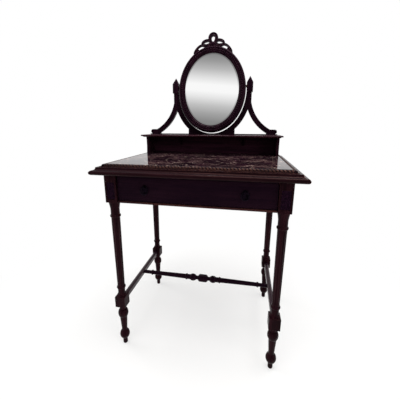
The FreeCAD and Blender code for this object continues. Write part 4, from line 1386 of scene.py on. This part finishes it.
@dataclass
class LyreStand(SubAssembly):
    """Arms, braces and finials that carry the mirror."""

    ease: float = 1.2
    finial_ease: float = 0.6

    def build(self) -> None:
        """Dresses the wood and the pivots."""
        self.shop.ease("stand_base", self.palette.across, self.ease)
        for side in Side:
            for stem in ("stand_arm_", "stand_brace_"):
                self.shop.ease(stem + side.hand, self.palette.upright, self.ease)
            self.shop.ease("finial_" + side.hand, self.palette.upright, self.finial_ease)
        self.shop.keep("pivot_sockets", self.palette.brass)
        self.shop.keep("stand_screws", self.palette.steel)


@dataclass(frozen=True)
class Tilt:
    """Angle at which the mirror is left standing and the axis of its pivots."""

    degrees: float = 7.0
    y: float = 203.0
    level: float = 1034.0

    def apply(self, form: Form) -> Form:
        """Leans an upright mesh back."""
        return form.lean(self.degrees, self.y, self.level)


@dataclass
class OvalMirror(SubAssembly):
    """Moulded oval frame with a row of beads round the glass.

    Points of the moulding are insets from its outside and depths.
    """

    tilt: Tilt = Tilt()
    half_width: float = 149.0
    half_height: float = 184.0
    level: float = 1018.5
    outside: tuple[Flat, ...] = (
        (26.0, 211.0), (1.2, 211.0), (0.3, 210.6), (0.0, 209.8), (0.0, 194.0), (0.25, 191.0), (0.9, 188.0),
        (2.1, 185.2), (3.9, 182.9), (6.0, 181.5), (7.9, 181.0), (9.7, 181.5), (10.8, 182.8), (11.4, 184.6),
    )
    band: Span = (11.8, 20.6)
    band_floor: float = 184.4
    band_rise: float = 2.6
    band_points: int = 9
    inside: tuple[Flat, ...] = (
        (21.0, 184.6), (21.6, 183.3), (22.6, 182.9), (23.7, 183.3), (24.4, 184.4), (25.8, 186.0),
        (27.8, 186.8), (29.3, 187.0), (30.0, 187.5), (30.0, 188.0), (26.0, 188.0),
    )
    bead_count: int = 102
    bead_steps: int = 10
    bead_crown: float = 0.92
    sharp: float = 50.0
    board_ease: float = 0.8
    oval_steps: int = 4000

    def build(self) -> None:
        """Makes the frame and dresses glass, board and pins."""
        form = self.tilt.apply(self.moulding())
        beaded = form.finish("mirror_frame_beaded", self.palette.carved, self.sharp)
        self.shop.seat(beaded, Body.MIRROR, Slot.MAHOGANY, ["mirror_frame"])
        self.shop.keep("mirror_glass", self.palette.glass)
        self.shop.ease("mirror_backboard", self.palette.plain_upright, self.board_ease, Body.MIRROR,
                       Slot.DRAWER_WOOD)
        self.shop.keep("backboard_pins", self.palette.steel)
        self.shop.keep("pivot_pins", self.palette.brass)

    def even_turns(self, count: int) -> list[float]:
        """Angles that divide the row of beads into equal lengths.

        Args:
            count: Number of lengths.

        Returns:
            The angle at the start of each length.
        """
        fine = self.oval_steps
        middle = sum(self.band) / 2
        wide = self.half_width - middle
        high = self.half_height - middle
        lengths = [0.0]
        for step in range(fine):
            turn = math.tau * (step + 0.5) / fine
            lengths.append(lengths[-1] + math.hypot(wide * math.sin(turn), high * math.cos(turn)))
        turns = []
        at = 0
        for number in range(count):
            target = lengths[-1] * number / count
            while lengths[at + 1] < target:
                at += 1
            turns.append(math.tau * (at + (target - lengths[at]) / (lengths[at + 1] - lengths[at])) / fine)
        return turns

    def section(self, share: float) -> list[Flat]:
        """Section of the moulding.

        Args:
            share: Share of the way from one bead to the next.

        Returns:
            Inset and depth of each point.
        """
        start, end = self.band
        beads = []
        for step in range(self.band_points):
            across = 2 * step / (self.band_points - 1) - 1
            rise = self.band_rise * hump(share) * math.sqrt(1.0 - self.bead_crown * across ** 2)
            beads.append((start + (end - start) * (across + 1) / 2, self.band_floor - rise))
        return [*self.outside, *beads, *self.inside]

    def moulding(self) -> Form:
        """Frame swept round the oval.

        Returns:
            The upright frame.
        """
        rings = []
        for number, turn in enumerate(self.even_turns(self.bead_count * self.bead_steps)):
            points = self.section((number % self.bead_steps) / self.bead_steps)
            rings.append([((self.half_width - inset) * math.cos(turn), depth,
                           self.level + (self.half_height - inset) * math.sin(turn))
                          for inset, depth in points])
        return Form().skin(rings, loop=True)


@dataclass
class RibbonCrest(SubAssembly):
    """Carved ribbon bow on the mirror: an upright loop, two side loops and two trailing ends.

    Lines run in the plane of the crest, from the middle of its foot. The relief of a ribbon holds shares of
    its half width and depths behind its front.
    """

    tilt: Tilt = Tilt()
    base: float = 1202.5
    front: float = 187.0
    rear: float = 201.0
    rear_ease: float = 1.0
    relief: tuple[Flat, ...] = ((1.0, 1.6), (0.88, 0.5), (0.7, 0.0), (0.5, 0.4), (0.25, 1.6), (0.0, 2.0))
    end_taper: float = 0.35
    sharp: float = 45.0
    loop_middle: Flat = (0.0, 27.5)
    loop_half: Flat = (14.0, 20.5)
    loop_taper: float = 0.22
    loop_width: float = 14.0
    ear_middle: Flat = (28.5, 13.0)
    ear_half: Flat = (18.5, 10.2)
    ear_tilt: float = -12.0
    ear_width: float = 9.5
    oval_points: int = 72
    tail: tuple[Flat, ...] = ((5.0, 4.0), (20.0, 2.5), (34.0, 3.2), (46.0, 4.2), (57.0, 1.0), (67.0, -6.0),
                              (75.0, -14.5), (82.0, -25.5))
    tail_width: float = 10.0
    tail_rear: float = 196.0
    ledges: tuple[tuple[Flat, ...], ...] = (
        ((0.0, 1.5), (14.0, 0.8), (27.0, -2.2)),
        ((62.0, -13.0), (70.0, -18.5), (78.0, -25.0), (84.0, -31.0)),
    )
    ledge_width: float = 7.0
    line_steps: int = 8
    knot_middle: Flat = (0.0, 9.0)
    knot_half: Flat = (10.5, 8.0)
    knot_foot: float = 2.0
    knot_rise: float = 4.5
    knot_steps: int = 8
    knot_points: int = 32

    def build(self) -> None:
        """Makes the bow as one piece."""
        form = Form()
        loop = self.oval(self.loop_middle, self.loop_half, taper=self.loop_taper)
        ear = self.oval(self.ear_middle, self.ear_half, tilt=self.ear_tilt)
        self.ribbon(form, loop, self.loop_width, self.rear, closed=True)
        for side in Side:
            self.ribbon(form, self.turned(ear, side), self.ear_width, self.rear, closed=True)
            self.ribbon(form, self.turned(self.smooth(self.tail), side), self.tail_width, self.tail_rear)
            for line in self.ledges:
                self.ribbon(form, self.turned(self.smooth(line), side), self.ledge_width, self.rear)
        self.knot(form)
        piece = self.tilt.apply(form).finish("ribbon_crest", self.palette.carved, self.sharp)
        self.shop.seat(piece, Body.MIRROR, Slot.MAHOGANY, ["mirror_crest"])

    @staticmethod
    def turned(line: Sequence[Flat], side: Side) -> list[Flat]:
        """Line of the right half as it runs on one side."""
        return [(side.value * x, z) for x, z in line]

    def oval(self, middle: Flat, half: Flat, tilt: float = 0.0, taper: float = 0.0) -> list[Flat]:
        """Closed oval line.

        Args:
            middle: Its middle.
            half: Half width and half height.
            tilt: Turn in degrees.
            taper: Share by which the foot is narrower and the head wider.

        Returns:
            Points of the line.
        """
        turn = math.radians(tilt)
        points = []
        for angle in full_turn(self.oval_points):
            x = half[0] * math.sin(angle) * (1 - taper * math.cos(angle))
            z = -half[1] * math.cos(angle)
            points.append((middle[0] + x * math.cos(turn) - z * math.sin(turn),
                           middle[1] + x * math.sin(turn) + z * math.cos(turn)))
        return points

    def smooth(self, points: Sequence[Flat]) -> list[Flat]:
        """Smooth line through points.

        Args:
            points: Points in order.

        Returns:
            The points with more of them in between.
        """
        padded = [points[0], *points, points[-1]]
        line = []
        for before, start, end, after in zip(padded, padded[1:], padded[2:], padded[3:]):
            for step in range(self.line_steps):
                at = step / self.line_steps
                line.append(tuple(
                    0.5 * (2 * s + (e - b) * at + (2 * b - 5 * s + 4 * e - a) * at ** 2
                           + (3 * s - b - 3 * e + a) * at ** 3)
                    for b, s, e, a in zip(before, start, end, after)))
        return line + [points[-1]]

    def ribbon(self, form: Form, line: Sequence[Flat], width: float, rear: float,
               closed: bool = False) -> None:
        """Adds a hollowed ribbon along a line.

        Args:
            form: Mesh that it is added to.
            line: Middle line, from the foot of the crest.
            width: Width of the ribbon.
            rear: Depth of its back.
            closed: Whether the line is a loop; the end of an open one is narrower.
        """
        half = width / 2
        ease = self.rear_ease
        left = [(-half * share, self.front + depth) for share, depth in self.relief]
        right = [(-across, depth) for across, depth in reversed(left[:-1])]
        back = [(half, rear - ease), (half - ease, rear), (-half + ease, rear)]
        section = [(-half, rear - ease), *left, *right, *back]
        count = len(line)
        rings = []
        for number, (x, z) in enumerate(line):
            before = line[number - 1] if closed or number else line[0]
            after = line[(number + 1) % count] if closed or number < count - 1 else line[-1]
            run = Vector((after[0] - before[0], after[1] - before[1])).normalized()
            share = 1.0 if closed else 1.0 - self.end_taper * (number / (count - 1)) ** 3
            rings.append([(x - run.y * across * share, depth, self.base + z + run.x * across * share)
                          for across, depth in section])
        form.skin(rings, loop=closed)

    def knot(self, form: Form) -> None:
        """Adds the round knot where the ribbons meet.

        Args:
            form: Mesh that it is added to.
        """
        rings = [self.knot_ring(1.0, self.rear - self.rear_ease)]
        for step in range(self.knot_steps):
            rise = math.pi / 2 * step / self.knot_steps
            depth = self.front + self.knot_foot - self.knot_rise * math.sin(rise)
            rings.append(self.knot_ring(math.cos(rise), depth))
        form.skin(rings)

    def knot_ring(self, share: float, depth: float) -> list[Point]:
        """One oval of the knot.

        Args:
            share: Share of the knot's size.
            depth: Depth of the oval.

        Returns:
            Points of the oval.
        """
        x, z = self.knot_middle
        wide, high = self.knot_half
        return [(x + wide * share * math.cos(turn), depth, self.base + z + high * share * math.sin(turn))
                for turn in full_turn(self.knot_points)]


# Studio

@dataclass(frozen=True)
class Lamp:
    """Soft rectangular lamp that faces a point, in metres and watts."""

    name: str
    place: Point
    size: Flat
    power: float
    aim: Point = (0.0, 0.0, 0.6)

    def build(self) -> None:
        """Adds the lamp."""
        light = bpy.data.lights.new(self.name, "AREA")
        light.shape = "RECTANGLE"
        light.size, light.size_y = self.size
        light.energy = self.power
        lamp = bpy.data.objects.new(self.name, light)
        lamp.location = self.place
        lamp.rotation_euler = (Vector(self.aim) - Vector(self.place)).to_track_quat("-Z", "Y").to_euler()
        bpy.context.scene.collection.objects.link(lamp)


@dataclass
class Studio:
    """Pale floor, soft lamps, a screen behind the camera and the camera, in metres and degrees."""

    lamps: tuple[Lamp, ...] = (
        Lamp("overhead", (0.3, -0.4, 3.4), (2.8, 0.9), 95.0),
        Lamp("left_window", (-3.2, 0.6, 2.0), (1.8, 2.2), 60.0),
        Lamp("right_fill", (3.0, -2.2, 1.9), (1.6, 2.0), 30.0),
    )
    ambient: float = 0.42
    floor_reach: float = 9.0
    floor_colour: str = "F2F1EF"
    floor_grain: float = 40.0
    floor_grain_share: float = 0.05
    floor_fade: Span = (0.4, 1.2)
    floor_white: float = 0.64
    screen_y: float = -3.6
    screen_half_width: float = 4.0
    screen_levels: Span = (0.0, 4.4)
    screen_slope: float = 0.104
    screen_stops: tuple[Flat, ...] = (
        (0.0, 0.1), (0.418, 0.26), (0.455, 0.39), (0.491, 0.57), (0.528, 0.84), (0.555, 1.0), (0.585, 1.0),
        (0.619, 0.78), (0.655, 0.52), (0.692, 0.35), (0.728, 0.24), (1.0, 0.1),
    )
    eye: Point = (0.161, -0.967, 0.863)
    pitch: float = -13.82
    yaw: float = 11.04
    roll: float = 0.13
    focal_pixels: float = 247.1
    frame_pixels: float = 400.0
    axis_pixel: Flat = (197.1, 187.2)
    sensor: float = 36.0
    nearest: float = 0.01

    def build(self) -> None:
        """Makes the set."""
        for lamp in self.lamps:
            lamp.build()
        self.floor()
        self.screen()
        self.world()
        self.camera()
        bpy.context.scene.view_settings.view_transform = "Standard"

    @staticmethod
    def seen(nodes: Nodes) -> Sock:
        """1 for rays that show the set: straight, mirrored and through glass."""
        path = nodes.node("ShaderNodeLightPath", output="Is Camera Ray")
        return path.bigger(path.other("Is Glossy Ray")).bigger(path.other("Is Transmission Ray"))

    @staticmethod
    def sheet(points: Sequence[Point], name: str, material: bpy.types.Material) -> bpy.types.Object:
        """Flat piece of the set between four points in metres."""
        corners = [[value / MM for value in point] for point in points]
        return Form().faces(corners, [(0, 1, 2, 3)]).finish(name, material)

    def floor(self) -> None:
        """Pale floor that fades to white away from the table and keeps its shadow."""
        reach = self.floor_reach
        material, nodes = new_material("pale_floor")
        place = nodes.place()
        grain = nodes.noise(place, self.floor_grain) * self.floor_grain_share
        pale = nodes.mix(grain, srgb(self.floor_colour), WHITE)
        matt = nodes.node("ShaderNodeBsdfDiffuse", None, {"Color": pale})
        white = nodes.node("ShaderNodeEmission", None, {"Color": WHITE, "Strength": 1.0})
        fade = nodes.measure("LENGTH", place).remap(*self.floor_fade) * (1.0 - self.floor_white)
        bright = (fade + self.floor_white) * self.seen(nodes)
        mixed = nodes.node("ShaderNodeMixShader", None, {0: bright, 1: matt, 2: white})
        nodes.node("ShaderNodeOutputMaterial", None, {"Surface": mixed})
        corners = [(-reach, -reach, 0.0), (reach, -reach, 0.0), (reach, reach, 0.0), (-reach, reach, 0.0)]
        piece = self.sheet(corners, "floor", material)

    def screen(self) -> None:
        """Softly lit screen behind the camera, which the mirror shows."""
        wide = self.screen_half_width
        y = self.screen_y
        low, high = self.screen_levels
        span = high - low
        material, nodes = new_material("lit_screen")
        share = nodes.measure("DOT_PRODUCT", nodes.place(), (self.screen_slope / span, 0.0, 1 / span))
        stops = [(at, (bright, bright, bright, 1.0)) for at, bright in self.screen_stops]
        glow = nodes.node("ShaderNodeValToRGB", {"stops": stops}, {0: share})
        light = nodes.node("ShaderNodeEmission", None, {"Color": glow, "Strength": 1.0})
        nodes.node("ShaderNodeOutputMaterial", None, {"Surface": light})
        corners = [(-wide, y, low), (wide, y, low), (wide, y, high), (-wide, y, high)]
        piece = self.sheet(corners, "screen", material)
        piece.visible_camera = False
        piece.visible_shadow = False

    def world(self) -> None:
        """White surroundings with a plain level of light."""
        world = bpy.data.worlds.new("studio")
        world.use_nodes = True
        nodes = Nodes(world.node_tree)
        strength = self.seen(nodes) * (1.0 - self.ambient) + self.ambient
        white = nodes.node("ShaderNodeBackground", None, {"Color": WHITE, "Strength": strength})
        nodes.node("ShaderNodeOutputWorld", None, {"Surface": white})
        bpy.context.scene.world = world

    def camera(self) -> None:
        """Camera at the viewing angle of the photograph."""
        data = bpy.data.cameras.new("camera")
        data.sensor_width = self.sensor
        data.lens = self.focal_pixels / self.frame_pixels * self.sensor
        data.shift_x = 0.5 - self.axis_pixel[0] / self.frame_pixels
        data.shift_y = self.axis_pixel[1] / self.frame_pixels - 0.5
        data.clip_start = self.nearest
        camera = bpy.data.objects.new("camera", data)
        turn = (Matrix.Rotation(math.radians(self.yaw), 4, "Z")
                @ Matrix.Rotation(math.radians(90.0 + self.pitch), 4, "X")
                @ Matrix.Rotation(math.radians(self.roll), 4, "Z"))
        camera.matrix_world = Matrix.Translation(self.eye) @ turn
        bpy.context.scene.collection.objects.link(camera)
        bpy.context.scene.camera = camera


def main() -> None:
    """Builds the sub-assemblies in order, then the studio."""
    logging.basicConfig(level=logging.INFO, format="%(name)s: %(message)s")
    shop = Workshop()
    palette = Palette()
    for assembly in (Legs, Stretchers, Apron, Drawer, Pulls, Top, RaisedShelf, LyreStand, OvalMirror,
                     RibbonCrest):
        LOG.info("building %s", assembly.__name__)
        assembly(shop, palette).build()
    Studio().build()


if __name__ == "__main__":
    main()
